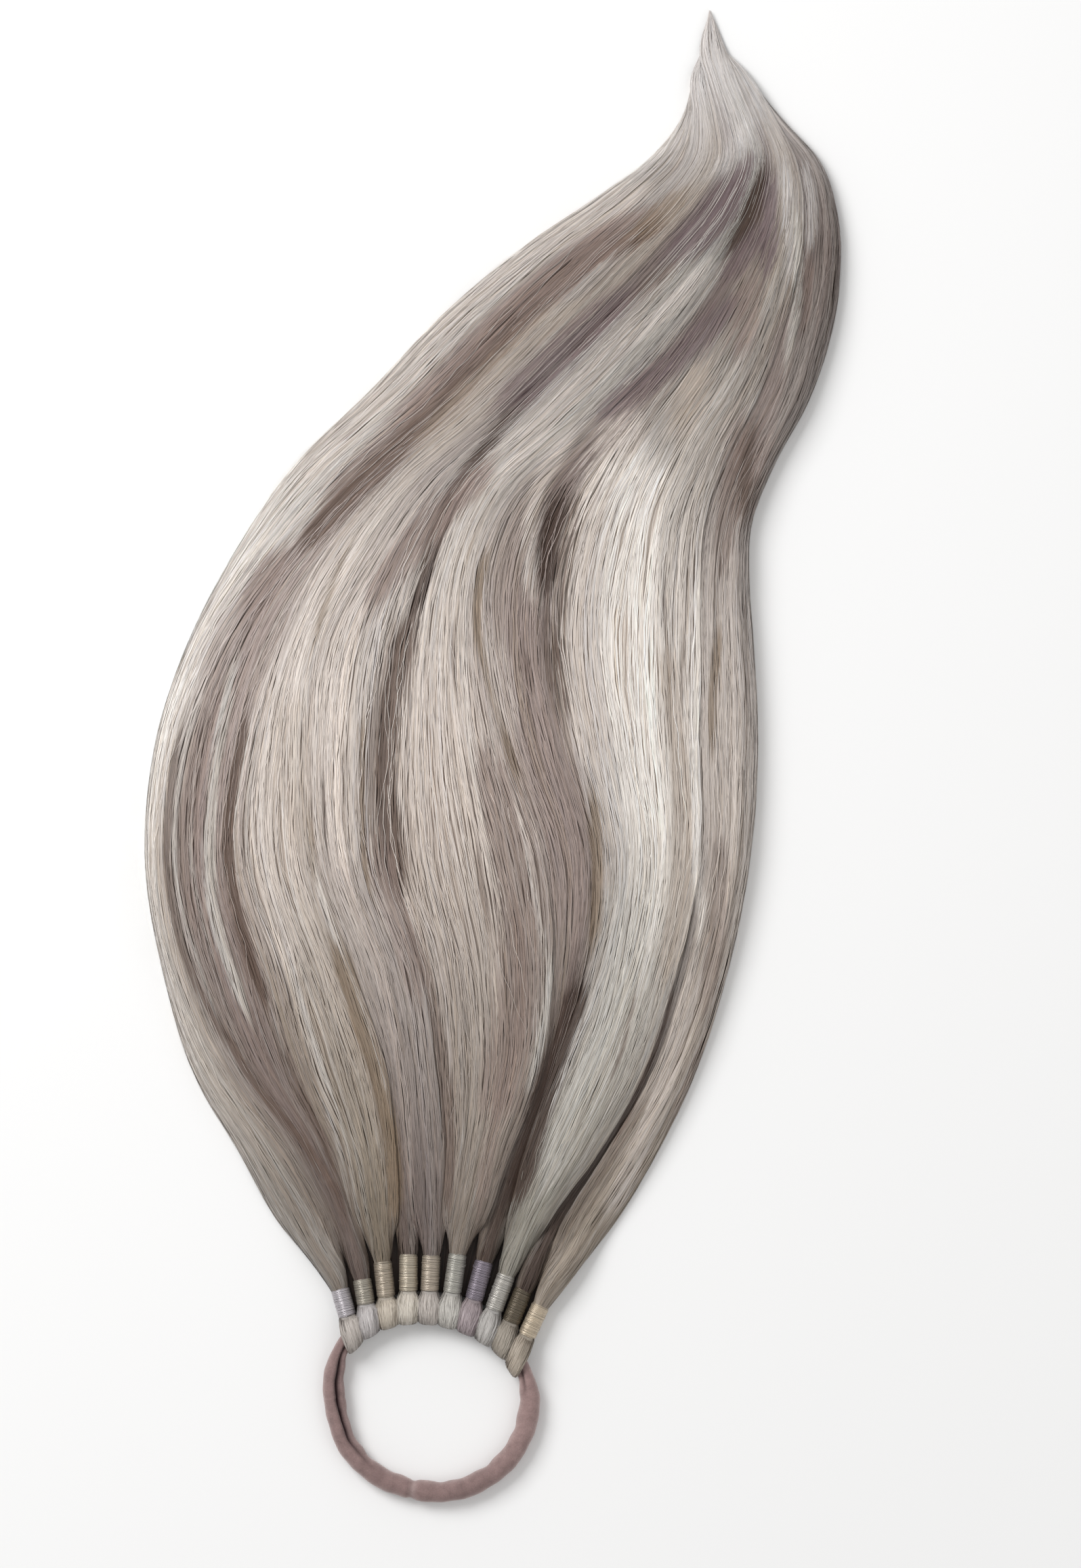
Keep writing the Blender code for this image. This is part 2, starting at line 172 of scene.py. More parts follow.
# Lines across the tail: outline at the left and right, height of the crown, and the nine seams
# between the strands as percentages of the width
Station = namedtuple("Station", "left_x left_y right_x right_y crown seams")
STATIONS = (
    Station(-74.2, -155.6, 41.5, -157.0, 9.0, (16.3, 24.1, 35.2, 41.2, 50.1, 61.0, 68.8, 79.5, 85.1)),
    Station(-86.6, -133.1, 56.2, -132.6, 12.0, (12.9, 23.4, 37.0, 40.2, 50.2, 64.1, 68.9, 85.2, 88.2)),
    Station(-101.5, -107.3, 68.9, -106.1, 15.0, (8.5, 21.5, 38.0, 40.8, 49.9, 68.6, 71.7, 89.0, 91.6)),
    Station(-112.1, -72.8, 79.5, -72.8, 19.0, (4.8, 19.3, 33.7, 38.3, 47.9, 68.5, 75.5, 90.5, 92.8)),
    Station(-118.4, -34.4, 87.5, -32.5, 22.0, (4.0, 15.6, 27.9, 32.1, 42.1, 65.5, 76.4, 91.0, 93.2)),
    Station(-115.3, 4.3, 90.0, 5.4, 23.0, (4.2, 16.0, 25.2, 29.5, 40.7, 58.0, 71.2, 90.0, 92.0)),
    Station(-102.5, 43.4, 88.7, 37.6, 23.0, (5.8, 16.5, 22.7, 27.9, 38.9, 52.1, 66.8, 89.8, 91.9)),
    Station(-88.7, 69.8, 87.1, 60.6, 22.5, (9.4, 17.5, 24.5, 29.3, 37.8, 49.0, 66.1, 89.7, 92.1)),
    Station(-68.7, 99.7, 87.7, 80.2, 22.0, (14.7, 21.2, 26.8, 31.0, 37.2, 49.0, 65.5, 89.3, 92.1)),
    Station(-43.4, 124.5, 95.1, 99.7, 21.0, (18.3, 24.9, 30.7, 34.9, 39.8, 53.5, 64.0, 88.0, 91.0)),
    Station(-15.5, 153.5, 108.4, 125.0, 19.5, (20.0, 27.5, 34.1, 38.7, 43.5, 58.0, 65.0, 86.2, 89.3)),
    Station(12.3, 176.5, 117.6, 160.0, 17.0, (22.0, 30.7, 38.0, 43.4, 49.0, 61.5, 68.2, 84.8, 88.0)),
    Station(37.1, 193.1, 117.5, 184.0, 14.0, (22.5, 32.3, 40.0, 46.2, 52.5, 63.0, 70.0, 83.8, 87.2)),
    Station(55.5, 207.3, 111.7, 203.2, 10.5, (20.0, 31.0, 40.0, 47.0, 54.0, 64.0, 71.5, 83.0, 86.8)),
    Station(64.3, 219.3, 99.2, 217.5, 7.5, (12.0, 23.0, 34.0, 44.0, 55.0, 66.0, 77.0, 89.0, 89.0)),
    Station(67.9, 232.6, 86.1, 233.3, 5.5, (0.0, 12.0, 26.0, 40.0, 56.0, 73.0, 87.0, 100.0, 100.0)),
    Station(70.8, 241.8, 78.1, 242.3, 3.5, (0.0, 0.0, 0.0, 25.0, 72.0, 100.0, 100.0, 100.0, 100.0)),
    Station(73.5, 255.5, 73.7, 255.5, 1.5, (0.0, 0.0, 0.0, 25.0, 72.0, 100.0, 100.0, 100.0, 100.0)),
)

# Section of the tail: its fall toward the sides, its round outer edges, the dip at each seam, how
# the strands' heights even out past the necks, and the least height and half width
SPREAD_EDGE_DROP = 0.55
SPREAD_EDGE_POWER = 2.4
OUTER_ROUNDNESS = 2.2
SEAM_DROP = 0.025
SEAM_SHARPNESS = 6.0
SEAM_OVERLAP = 0.9
RIDGE_EVENING = 0.85
RIDGE_EVEN_RISE = 0.98
RIDGE_EASE = 5.0
TIP_HEIGHT = 1.4
LEAST_HEIGHT = 0.4
LEAST_HALF_WIDTH = 0.12

# Necks: how far round the hair goes, and distance along the neck and radius of the first two rows
NECK_ARC = radians(240.0)
NECK_ROWS = ((-1.5, 2.5), (0.3, 2.95))

# Grid that the hair follows: millimetres between rows, columns, and finer ones to space them by
TAIL_SPACING = 2.5
TAIL_COLUMNS = 41
TAIL_FINE_COLUMNS = 161

# Dense body under the hair, painted darker as shade
CORE_ROWS = 90
CORE_COLUMNS = 25
CORE_UNDER_COLUMNS = 6
CORE_SHRINK = 0.9
CORE_SIDE_SHRINK = 0.8
CORE_SHADE = 0.9
CORE_LOWEST = 0.15
CORE_UNDERSIDE = 0.2

# Streaks: how far they taper at their ends, how wide they are there and elsewhere, and the share
# of the drawn depth and of the hair's height that a hollow takes
STREAK_TAPER = 22.0
STREAK_TAPER_SHARE = 0.4
STREAK_SPREAD = 1.15
STREAK_END_WIDTH = 0.3
STREAK_DEPTH_SHARE = 0.75
STREAK_HEIGHT_SHARE = 0.45
STREAK_GAIN = 1.25
STREAK_EASE = 0.5
STREAK_BODY = 1.6

# Colour: how far neighbouring strands run into each other, the tint of shade, the lightest value,
# and heights in the view where a strand's colour is set
SEAM_BLEND = 0.42
SHADOW_TINT = np.array((1.0, 0.95, 0.905))
LIGHTEST = 0.95
TONE_HEIGHTS = (120.0, 330.0, 560.0, 1000.0, 1450.0, 1800.0)
TONE_RUN_ON = 0.4

# Pale outer edge of the first strand, partly its own pale colour and partly painted light, with a painted
# highlight along its rim: as shares of its width, and where it starts above the necks
PALE_EDGE_WIDTH = 0.6
PALE_EDGE_COLOUR = 0.65
EDGE_PAINTED_LIGHT = 0.85
RIM_HIGHLIGHT_WIDTH = 0.25
RIM_PAINTED_HIGHLIGHT = 0.35
PALE_EDGE_Y = -150.0
PALE_EDGE_EASE = 60.0

# Bundles of hair: shares of the strand's length for how long they are, where they start and where
# the last of them end, then their ends' taper and dive, and how they sit and vary
BUNDLE_REACH = (0.28, 0.62)
BUNDLE_START = (-0.45, 1.0)
BUNDLE_END = (0.955, 1.0)
BUNDLE_FREE_END = 0.93
BUNDLE_TAPER = 0.10
BUNDLE_DIVE = 1.4
BUNDLE_WIDTHS = (0.55, 1.35)
BUNDLE_END_WIDTH = 0.15
BUNDLE_SINK = 0.48
BUNDLE_LAYERS = 0.3
BUNDLE_UNDULATION = 0.13
BUNDLE_LOWEST = 0.35
TIGHT_WIDTH = 4.0
LEAST_WIDTH = 3.0
LOOSENING = 14.0
UPPER_CLUMPS = 0.45
UPPER_LIFT = 0.2

# Accents within a strand: spread from hair to hair, and share of the grain; and the grain's widths
# and lengths in millimetres and its strengths
ACCENT_SPREAD = 0.16
ACCENT_GRAIN = 1.45
STREAK_GRAIN = 0.3
GRAINS = ((0.7, 45.0, 0.4), (1.4, 80.0, 0.5), (3.2, 130.0, 0.55))
GRAIN_REACH = 90.0

# Lengths in millimetres of the slow waves along the hair
CLUMP_WAVES = (230.0, 145.0, 91.0)
TIGHTNESS_WAVES = (83.0, 47.0)
BUNDLE_WAVES = (97.0, 43.0, 21.0)
LIFT_WAVES = (53.0, 23.0)
ROLL_WAVES = (61.0, 33.0)
SHADE_WAVES = (41.0, 23.0)

# Low hair between the necks, painted dark as shade
LOW_HAIRS = 130
LOW_HAIR_STEPS = 12
LOW_HAIR_SPREADS = (9.0, 12.0)
LOW_HAIR_HEIGHTS = (1.0, 1.3, 2.2, 2.6)
LOW_HAIR_HALF_WIDTH = 0.3
LOW_HAIR_LENGTH = 50.0

# Single hairs: the shortest and longest in millimetres, and points along each
LOOSE_REACH = (35.0, 150.0)
LOOSE_STEPS = 30
END_REACH = (3.0, 9.0)
END_STEPS = 5

# Surface, lights and camera, in metres; the sensor in millimetres
FLOOR_REACH = 6.0
KEY_SIZE = 0.9
KEY_PLACE = (-0.95, 0.75, 1.25)
FILL_SIZE = 1.6
FILL_PLACE = (1.1, -0.5, 1.4)
ROOM_COLOUR = (1.0, 0.995, 0.985, 1.0)
ROOM_STRENGTH = 0.5
CAMERA_SENSOR = 36.0
CAMERA_AIM_HEIGHT = 0.008

# Seeds of the random draws
STRAND_SEED = 400
BINDING_SEED = 700
LOOSE_SEED = 900

# Hair colours by name; the streaks also use the darker ones as painted shade in the hollows
TONES = {
    "snow": (0.965, 0.94, 0.915),
    "white": (0.95, 0.928, 0.905),
    "cream": (0.865, 0.828, 0.80),
    "silver": (0.81, 0.795, 0.77),
    "pearl": (0.815, 0.78, 0.755),
    "beige": (0.745, 0.69, 0.64),
    "sand": (0.715, 0.655, 0.58),
    "mauve": (0.645, 0.585, 0.563),
    "taupe": (0.575, 0.505, 0.475),
    "olive": (0.55, 0.475, 0.395),
    "plum": (0.45, 0.385, 0.395),
    "brown": (0.42, 0.345, 0.305),
    "dark": (0.29, 0.22, 0.185),
    "ash": (0.82, 0.80, 0.75),
    "mist": (0.80, 0.783, 0.775),
    "straw": (0.86, 0.80, 0.735),
}

# Each strand's own colour: at the binding, in the middle of the tail, and toward the tip
STRAND_TONES = (
    ("beige", "white", "pearl"),
    ("taupe", "mauve", "pearl"),
    ("sand", "cream", "beige"),
    ("taupe", "cream", "mauve"),
    ("mauve", "pearl", "pearl"),
    ("beige", "cream", "silver"),
    ("brown", "mauve", "mauve"),
    ("ash", "white", "beige"),
    ("brown", "pearl", "taupe"),
    ("straw", "pearl", "mauve"),
)

# The paler and the deeper hair mixed into each strand
STRAND_ACCENTS = (
    ("white", "beige"),
    ("silver", "taupe"),
    ("white", "sand"),
    ("cream", "taupe"),
    ("cream", "mauve"),
    ("white", "beige"),
    ("beige", "taupe"),
    ("white", "beige"),
    ("beige", "taupe"),
    ("cream", "taupe"),
)

# Light and shade painted into the hair along the view: height in the view, share of full light
PAINTED_LIGHTNESS = (
    (0, 1.12),
    (170, 0.95),
    (250, 0.72),
    (340, 0.57),
    (520, 0.57),
    (620, 0.68),
    (720, 0.75),
    (820, 0.89),
    (1000, 1.0),
    (1200, 1.0),
    (1320, 0.90),
    (1450, 0.79),
    (1600, 0.70),
    (1700, 0.60),
    (1780, 0.50),
    (1900, 0.44),
)

# Streaks and hollows in the tail, in the hair's own colours, the darker ones in the hollows partly painted
# shade: colour, half width in view pixels, share of the colour, depth in millimetres (a ridge where
# negative), and the places that the streak runs through in the view
Streak = namedtuple("Streak", "tone half_width strength depth places")
STREAKS = (
    Streak("taupe", 27, 0.75, 0.8, (
        (1010, 292), (940, 330), (870, 368), (800, 425), (740, 482), (680, 550), (620, 612), (560, 672),
        (500, 732), (440, 792))),
    Streak("brown", 17, 0.95, 2.2, (
        (1030, 300), (960, 340), (900, 362), (868, 380), (815, 425), (770, 470), (715, 525), (660, 590),
        (600, 650), (545, 705), (490, 760), (440, 815), (405, 855))),
    Streak("pearl", 22, 0.7, -0.4, (
        (1000, 262), (930, 285), (860, 325), (790, 372), (720, 425), (660, 488), (590, 560), (530, 615),
        (470, 680), (410, 750))),
    Streak("taupe", 24, 0.85, 0.8, ((450, 765), (415, 820), (385, 865), (360, 915), (340, 970))),
    Streak("mauve", 32, 0.5, 0.8, ((400, 835), (365, 890), (335, 950), (310, 1010), (290, 1070))),
    Streak("brown", 6, 0.7, 1.0, (
        (283, 1020), (262, 1100), (250, 1180), (246, 1260), (255, 1330), (270, 1400), (290, 1450),
        (320, 1510), (360, 1575), (400, 1630), (450, 1690), (500, 1760), (520, 1850))),
    Streak("silver", 8, 0.7, -0.4, (
        (362, 920), (345, 985), (330, 1060), (316, 1150), (309, 1250), (313, 1330), (330, 1400),
        (355, 1470), (385, 1540))),
    Streak("brown", 8, 0.9, 0.7, (
        (375, 1010), (362, 1080), (350, 1140), (340, 1200), (338, 1260), (345, 1310), (358, 1370),
        (375, 1430), (395, 1480), (415, 1530))),
    Streak("brown", 5, 0.6, 0.8, ((395, 1480), (420, 1540), (450, 1620), (480, 1690), (510, 1790))),
    Streak("taupe", 10, 0.5, 0.4, (
        (340, 960), (310, 1040), (290, 1110), (275, 1200), (272, 1290), (285, 1370), (310, 1440))),
    Streak("cream", 22, 0.6, -0.4, (
        (560, 760), (480, 880), (430, 1000), (400, 1100), (385, 1200), (395, 1290), (420, 1400),
        (450, 1480))),
    Streak("olive", 5, 0.6, 0.5, ((545, 760), (510, 820), (482, 890), (462, 960), (448, 1010))),
    Streak("brown", 3, 0.5, 0.4, ((440, 1040), (428, 1130), (425, 1200), (430, 1250))),
    Streak("white", 5, 0.7, 0.0, ((452, 1010), (438, 1080), (434, 1150), (440, 1230))),
    Streak("dark", 3, 0.7, 0.6, ((475, 1090), (480, 1200), (483, 1260), (500, 1310))),
    Streak("olive", 5, 0.6, 0.4, ((455, 1150), (458, 1220), (464, 1290), (480, 1350))),
    Streak("olive", 12, 0.8, 1.3, (
        (480, 1340), (500, 1400), (515, 1450), (535, 1520), (555, 1580), (570, 1640), (580, 1700),
        (582, 1780), (578, 1850))),
    Streak("cream", 16, 0.7, -0.4, (
        (560, 930), (525, 1010), (512, 1100), (508, 1180), (515, 1270), (530, 1330))),
    Streak("olive", 4, 0.7, 0.4, (
        (548, 1000), (538, 1080), (535, 1160), (535, 1240), (545, 1310), (560, 1370))),
    Streak("dark", 15, 0.75, 0.9, (
        (640, 850), (618, 890), (602, 930), (590, 980), (580, 1030), (572, 1080), (568, 1140), (570, 1190),
        (577, 1250), (588, 1310), (604, 1370))),
    Streak("brown", 26, 0.6, 0.5, (
        (625, 870), (600, 930), (582, 990), (570, 1060), (562, 1140), (566, 1220), (578, 1300),
        (596, 1370))),
    Streak("brown", 8, 0.6, 1.2, (
        (585, 1300), (600, 1350), (620, 1410), (640, 1480), (652, 1550), (660, 1620), (664, 1720),
        (661, 1840))),
    Streak("taupe", 16, 0.6, 0.6, (
        (548, 1180), (560, 1250), (575, 1320), (600, 1400), (615, 1460), (630, 1530))),
    Streak("dark", 11, 0.9, 2.0, (
        (588, 965), (600, 925), (614, 890), (630, 845), (646, 790), (668, 740), (700, 690), (735, 640),
        (775, 590), (815, 555), (850, 520))),
    Streak("brown", 9, 0.8, 1.4, (
        (800, 570), (815, 555), (860, 510), (900, 470), (950, 430), (1000, 385), (1040, 345))),
    Streak("taupe", 22, 0.8, 0.6, ((530, 940), (560, 870), (600, 820), (640, 770), (700, 710), (760, 650))),
    Streak("plum", 24, 0.7, 0.4, ((700, 640), (740, 600), (790, 560), (850, 500), (910, 450), (970, 405))),
    Streak("brown", 3, 0.5, 0.3, ((672, 880), (668, 950), (672, 1010), (685, 1060))),
    Streak("olive", 6, 0.75, 0.8, (
        (735, 760), (718, 810), (708, 860), (705, 910), (710, 960), (722, 1010), (738, 1060), (752, 1110),
        (765, 1160), (780, 1220))),
    Streak("brown", 4, 0.6, 0.4, ((690, 1190), (705, 1250), (712, 1310), (722, 1370), (728, 1440))),
    Streak("taupe", 10, 0.5, 0.6, (
        (745, 1280), (765, 1350), (770, 1420), (768, 1480), (755, 1550), (735, 1640), (715, 1720),
        (700, 1840))),
    Streak("silver", 7, 0.7, -0.3, (
        (812, 1360), (812, 1430), (806, 1490), (795, 1550), (780, 1610), (765, 1660))),
    Streak("brown", 14, 0.8, 2.4, ((862, 690), (848, 750), (838, 810), (832, 870), (830, 930), (828, 980))),
    Streak("dark", 16, 0.95, 3.2, ((862, 680), (832, 735), (814, 780), (805, 825), (803, 880), (810, 940))),
    Streak("brown", 14, 0.6, 0.8, ((803, 850), (808, 910), (818, 970), (826, 1030), (834, 1090))),
    Streak("pearl", 11, 0.95, -1.0, (
        (880, 600), (830, 660), (800, 710), (785, 760), (780, 810), (785, 860), (798, 905), (812, 940))),
    Streak("brown", 5, 0.6, 0.5, ((770, 940), (780, 1000), (790, 1040))),
    Streak("mauve", 30, 0.6, 0.0, (
        (790, 980), (805, 1060), (825, 1150), (840, 1250), (850, 1350), (850, 1430))),
    Streak("olive", 9, 0.75, 1.2, (
        (868, 1120), (878, 1200), (882, 1280), (880, 1340), (874, 1400), (866, 1450))),
    Streak("dark", 20, 0.9, 2.4, (
        (870, 1400), (858, 1450), (840, 1510), (820, 1570), (806, 1610), (793, 1660), (780, 1710),
        (758, 1770), (746, 1830))),
    Streak("taupe", 28, 0.7, 0.4, (
        (700, 1060), (718, 1120), (735, 1180), (752, 1260), (765, 1340), (768, 1430), (755, 1530),
        (735, 1620), (718, 1700))),
    Streak("pearl", 16, 0.6, -0.3, ((705, 880), (730, 960), (745, 1040), (765, 1130))),
    Streak("brown", 20, 0.9, 1.2, ((845, 850), (836, 920), (834, 980), (840, 1050), (850, 1120))),
    Streak("brown", 22, 0.85, 0.8, ((1125, 580), (1110, 660), (1098, 740), (1088, 820))),
    Streak("beige", 22, 0.7, 0.0, ((1060, 500), (1030, 560), (1005, 620), (990, 690))),
    Streak("cream", 34, 0.9, -0.5, (
        (960, 560), (930, 620), (900, 700), (880, 800), (865, 900), (862, 1000), (880, 1100), (900, 1180))),
    Streak("silver", 22, 0.4, -0.4, (
        (905, 1250), (915, 1350), (910, 1450), (880, 1550), (840, 1640), (810, 1740), (790, 1800))),
    Streak("snow", 42, 0.95, -0.3, (
        (955, 620), (945, 680), (930, 750), (925, 850), (930, 950), (945, 1050), (960, 1150))),
    Streak("brown", 4, 0.5, 0.3, (
        (985, 780), (978, 850), (980, 920), (990, 980), (985, 1050), (990, 1130))),
    Streak("brown", 3, 0.5, 0.3, ((1010, 900), (1005, 1000), (1010, 1100))),
    Streak("beige", 16, 0.6, 0.2, (
        (985, 900), (985, 980), (992, 1080), (1002, 1160), (1005, 1240), (1000, 1330), (985, 1420),
        (960, 1500))),
    Streak("beige", 20, 0.45, 0.0, ((440, 980), (432, 1060), (430, 1140), (438, 1220), (455, 1300))),
    Streak("white", 6, 0.8, -0.4, (
        (1035, 800), (1030, 900), (1028, 1000), (1025, 1100), (1028, 1200), (1030, 1290), (1035, 1350),
        (1028, 1430))),
    Streak("olive", 7, 0.7, 0.6, ((1068, 880), (1058, 960), (1052, 1030), (1050, 1100), (1052, 1160))),
    Streak("taupe", 13, 0.5, 0.3, ((1058, 1180), (1063, 1300), (1058, 1400), (1045, 1480), (1030, 1540))),
    Streak("taupe", 14, 0.6, 0.6, ((1105, 560), (1085, 650), (1075, 740), (1068, 830), (1068, 900))),
    Streak("cream", 14, 0.6, -0.4, (
        (1035, 1380), (1020, 1460), (1000, 1540), (975, 1620), (945, 1700), (900, 1790), (880, 1840))),
    Streak("taupe", 10, 0.5, 0.5, ((1050, 1480), (1030, 1560), (1000, 1640), (970, 1710))),
    Streak("brown", 5, 0.6, 0.5, ((1000, 1400), (985, 1500), (955, 1580), (925, 1650), (880, 1740))),
    Streak("brown", 4, 0.6, 0.4, ((945, 1400), (935, 1480), (915, 1560), (880, 1640))),
    Streak("plum", 28, 0.85, 0.5, ((1118, 215), (1095, 262), (1062, 312), (1010, 362), (950, 412))),
    Streak("dark", 18, 0.95, 3.2, (
        (1140, 195), (1133, 245), (1122, 290), (1105, 335), (1078, 375), (1040, 415))),
    Streak("mist", 12, 0.75, -0.3, ((1178, 190), (1190, 240), (1196, 300), (1194, 360), (1186, 420))),
    Streak("mist", 11, 0.7, -0.4, ((1148, 190), (1160, 250), (1166, 320), (1166, 390), (1158, 460))),
    Streak("plum", 13, 0.8, 1.2, ((1132, 210), (1135, 250), (1137, 320), (1132, 400), (1120, 460))),
    Streak("mist", 13, 0.9, -1.0, (
        (1118, 90), (1122, 140), (1108, 180), (1082, 228), (1045, 265), (1005, 298))),
    Streak("mauve", 14, 0.7, 1.0, (
        (1165, 420), (1160, 480), (1150, 540), (1135, 600), (1120, 680), (1105, 760))),
    Streak("taupe", 7, 0.6, 0.5, ((1190, 330), (1195, 400), (1190, 470), (1180, 540))),
    Streak("silver", 7, 0.7, -0.4, (
        (1160, 250), (1172, 310), (1178, 380), (1175, 450), (1165, 520), (1150, 590))),
    Streak("plum", 18, 0.75, 0.4, (
        (1125, 400), (1075, 455), (1022, 512), (960, 562), (900, 607), (845, 650))),
    Streak("pearl", 14, 0.6, -0.5, (
        (1085, 352), (1035, 408), (980, 462), (915, 515), (854, 570), (800, 630), (755, 690), (718, 750))),
    Streak("taupe", 20, 0.7, 0.4, ((1125, 360), (1108, 430), (1098, 500), (1088, 580))),
    Streak("plum", 14, 0.8, 0.3, ((1124, 185), (1110, 232), (1086, 275), (1055, 318), (1015, 360))),
    Streak("taupe", 20, 0.6, 0.2, (
        (1000, 296), (920, 338), (850, 388), (780, 440), (700, 510), (620, 590), (550, 660))),
    Streak("plum", 16, 0.7, 0.2, ((1135, 300), (1118, 345), (1085, 395), (1045, 440))),
    Streak("sand", 16, 0.3, 0.0, ((900, 420), (800, 485), (700, 575), (640, 640), (580, 710))),
    Streak("olive", 16, 0.6, 0.8, ((1040, 255), (1000, 300), (950, 340), (900, 370))),
)

# Thread colours of the bindings, from left to right
THREAD_COLOURS = (
    (0.73, 0.71, 0.725),
    (0.67, 0.645, 0.60),
    (0.70, 0.655, 0.595),
    (0.74, 0.70, 0.635),
    (0.715, 0.67, 0.615),
    (0.70, 0.69, 0.66),
    (0.57, 0.535, 0.575),
    (0.74, 0.725, 0.70),
    (0.42, 0.38, 0.32),
    (0.80, 0.745, 0.665),
)

# Hair colour of each loop
LOOP_COLOURS = (
    (0.74, 0.71, 0.685),
    (0.77, 0.75, 0.745),
    (0.775, 0.735, 0.68),
    (0.815, 0.785, 0.74),
    (0.77, 0.74, 0.715),
    (0.775, 0.76, 0.735),
    (0.66, 0.61, 0.62),
    (0.755, 0.74, 0.725),
    (0.67, 0.635, 0.59),
    (0.73, 0.685, 0.63),
)


# Numbers

def linear(colour):
    """A display colour as the light values that shaders work in."""
    colour = np.asarray(colour, dtype=float)
    return np.where(colour <= 0.04045, colour / 12.92, ((colour + 0.055) / 1.055) ** 2.4)


def mix(start, end, share):
    return start + (end - start) * share


def smooth_step(share):
    share = np.clip(share, 0.0, 1.0)
    return share * share * (3.0 - 2.0 * share)


def looseness(width):
    """0 where a strand is drawn tight, 1 where it is wide enough for its hair to part."""
    return smooth_step((width - TIGHT_WIDTH) / LOOSENING)


def unit(vectors):
    vectors = np.asarray(vectors, dtype=float)
    return vectors / np.maximum(np.linalg.norm(vectors, axis=-1, keepdims=True), 1e-9)


def distances_along(points):
    """How far along a line of points each of them is."""
    return np.concatenate(((0.0,), np.cumsum(np.linalg.norm(np.diff(points, axis=0), axis=1))))


def smooth_row(knots, rows, places):
    """Values on a smooth curve through rows of numbers that stand at the knots."""
    knots = np.asarray(knots, dtype=float)
    rows = np.asarray(rows, dtype=float)
    gaps = np.diff(knots)[:, None]
    slopes = np.diff(rows, axis=0) / gaps
    turns = np.empty_like(rows)
    turns[1:-1] = (slopes[:-1] * gaps[1:] + slopes[1:] * gaps[:-1]) / (gaps[:-1] + gaps[1:])
    turns[0] = slopes[0]
    turns[-1] = slopes[-1]
    places = np.clip(places, knots[0], knots[-1])
    index = np.clip(np.searchsorted(knots, places, side="right") - 1, 0, len(knots) - 2)
    gap = gaps[index]
    t = (places - knots[index])[..., None] / gap
    start, end = rows[index], rows[index + 1]
    return ((2 * t ** 3 - 3 * t ** 2 + 1) * start + (t ** 3 - 2 * t ** 2 + t) * gap * turns[index]
            + (3 * t ** 2 - 2 * t ** 3) * end + (t ** 3 - t ** 2) * gap * turns[index + 1])


def waves(places, lengths, phases):
    """A slow wave between -1 and 1: the mean of waves with these lengths and phases."""
    total = 0.0
    for length, phase in zip(lengths, phases):
        total = total + np.sin(2.0 * pi * (places / length + phase))
    return total / len(lengths)


def random_waves(random, places, lengths, count=None):
    """A wave for the one row of places, or a wave of its own for each of many rows."""
    size = (len(lengths), 1) if count is None else (len(lengths), count, 1)
    return waves(places, lengths, random.uniform(0.0, 1.0, size))


def view_height(places):
    """Pixels down from the top of the view at places (..., 2)."""
    return VIEW_ORIGIN[1] - places[..., 1] / VIEW_PIXEL


def from_view(places):
    """Places in pixels of the view from above, as x and y."""
    places = np.asarray(places, dtype=float)
    return np.stack(((places[..., 0] - VIEW_ORIGIN[0]) * VIEW_PIXEL,
                     (VIEW_ORIGIN[1] - places[..., 1]) * VIEW_PIXEL), axis=-1)


# Meshes

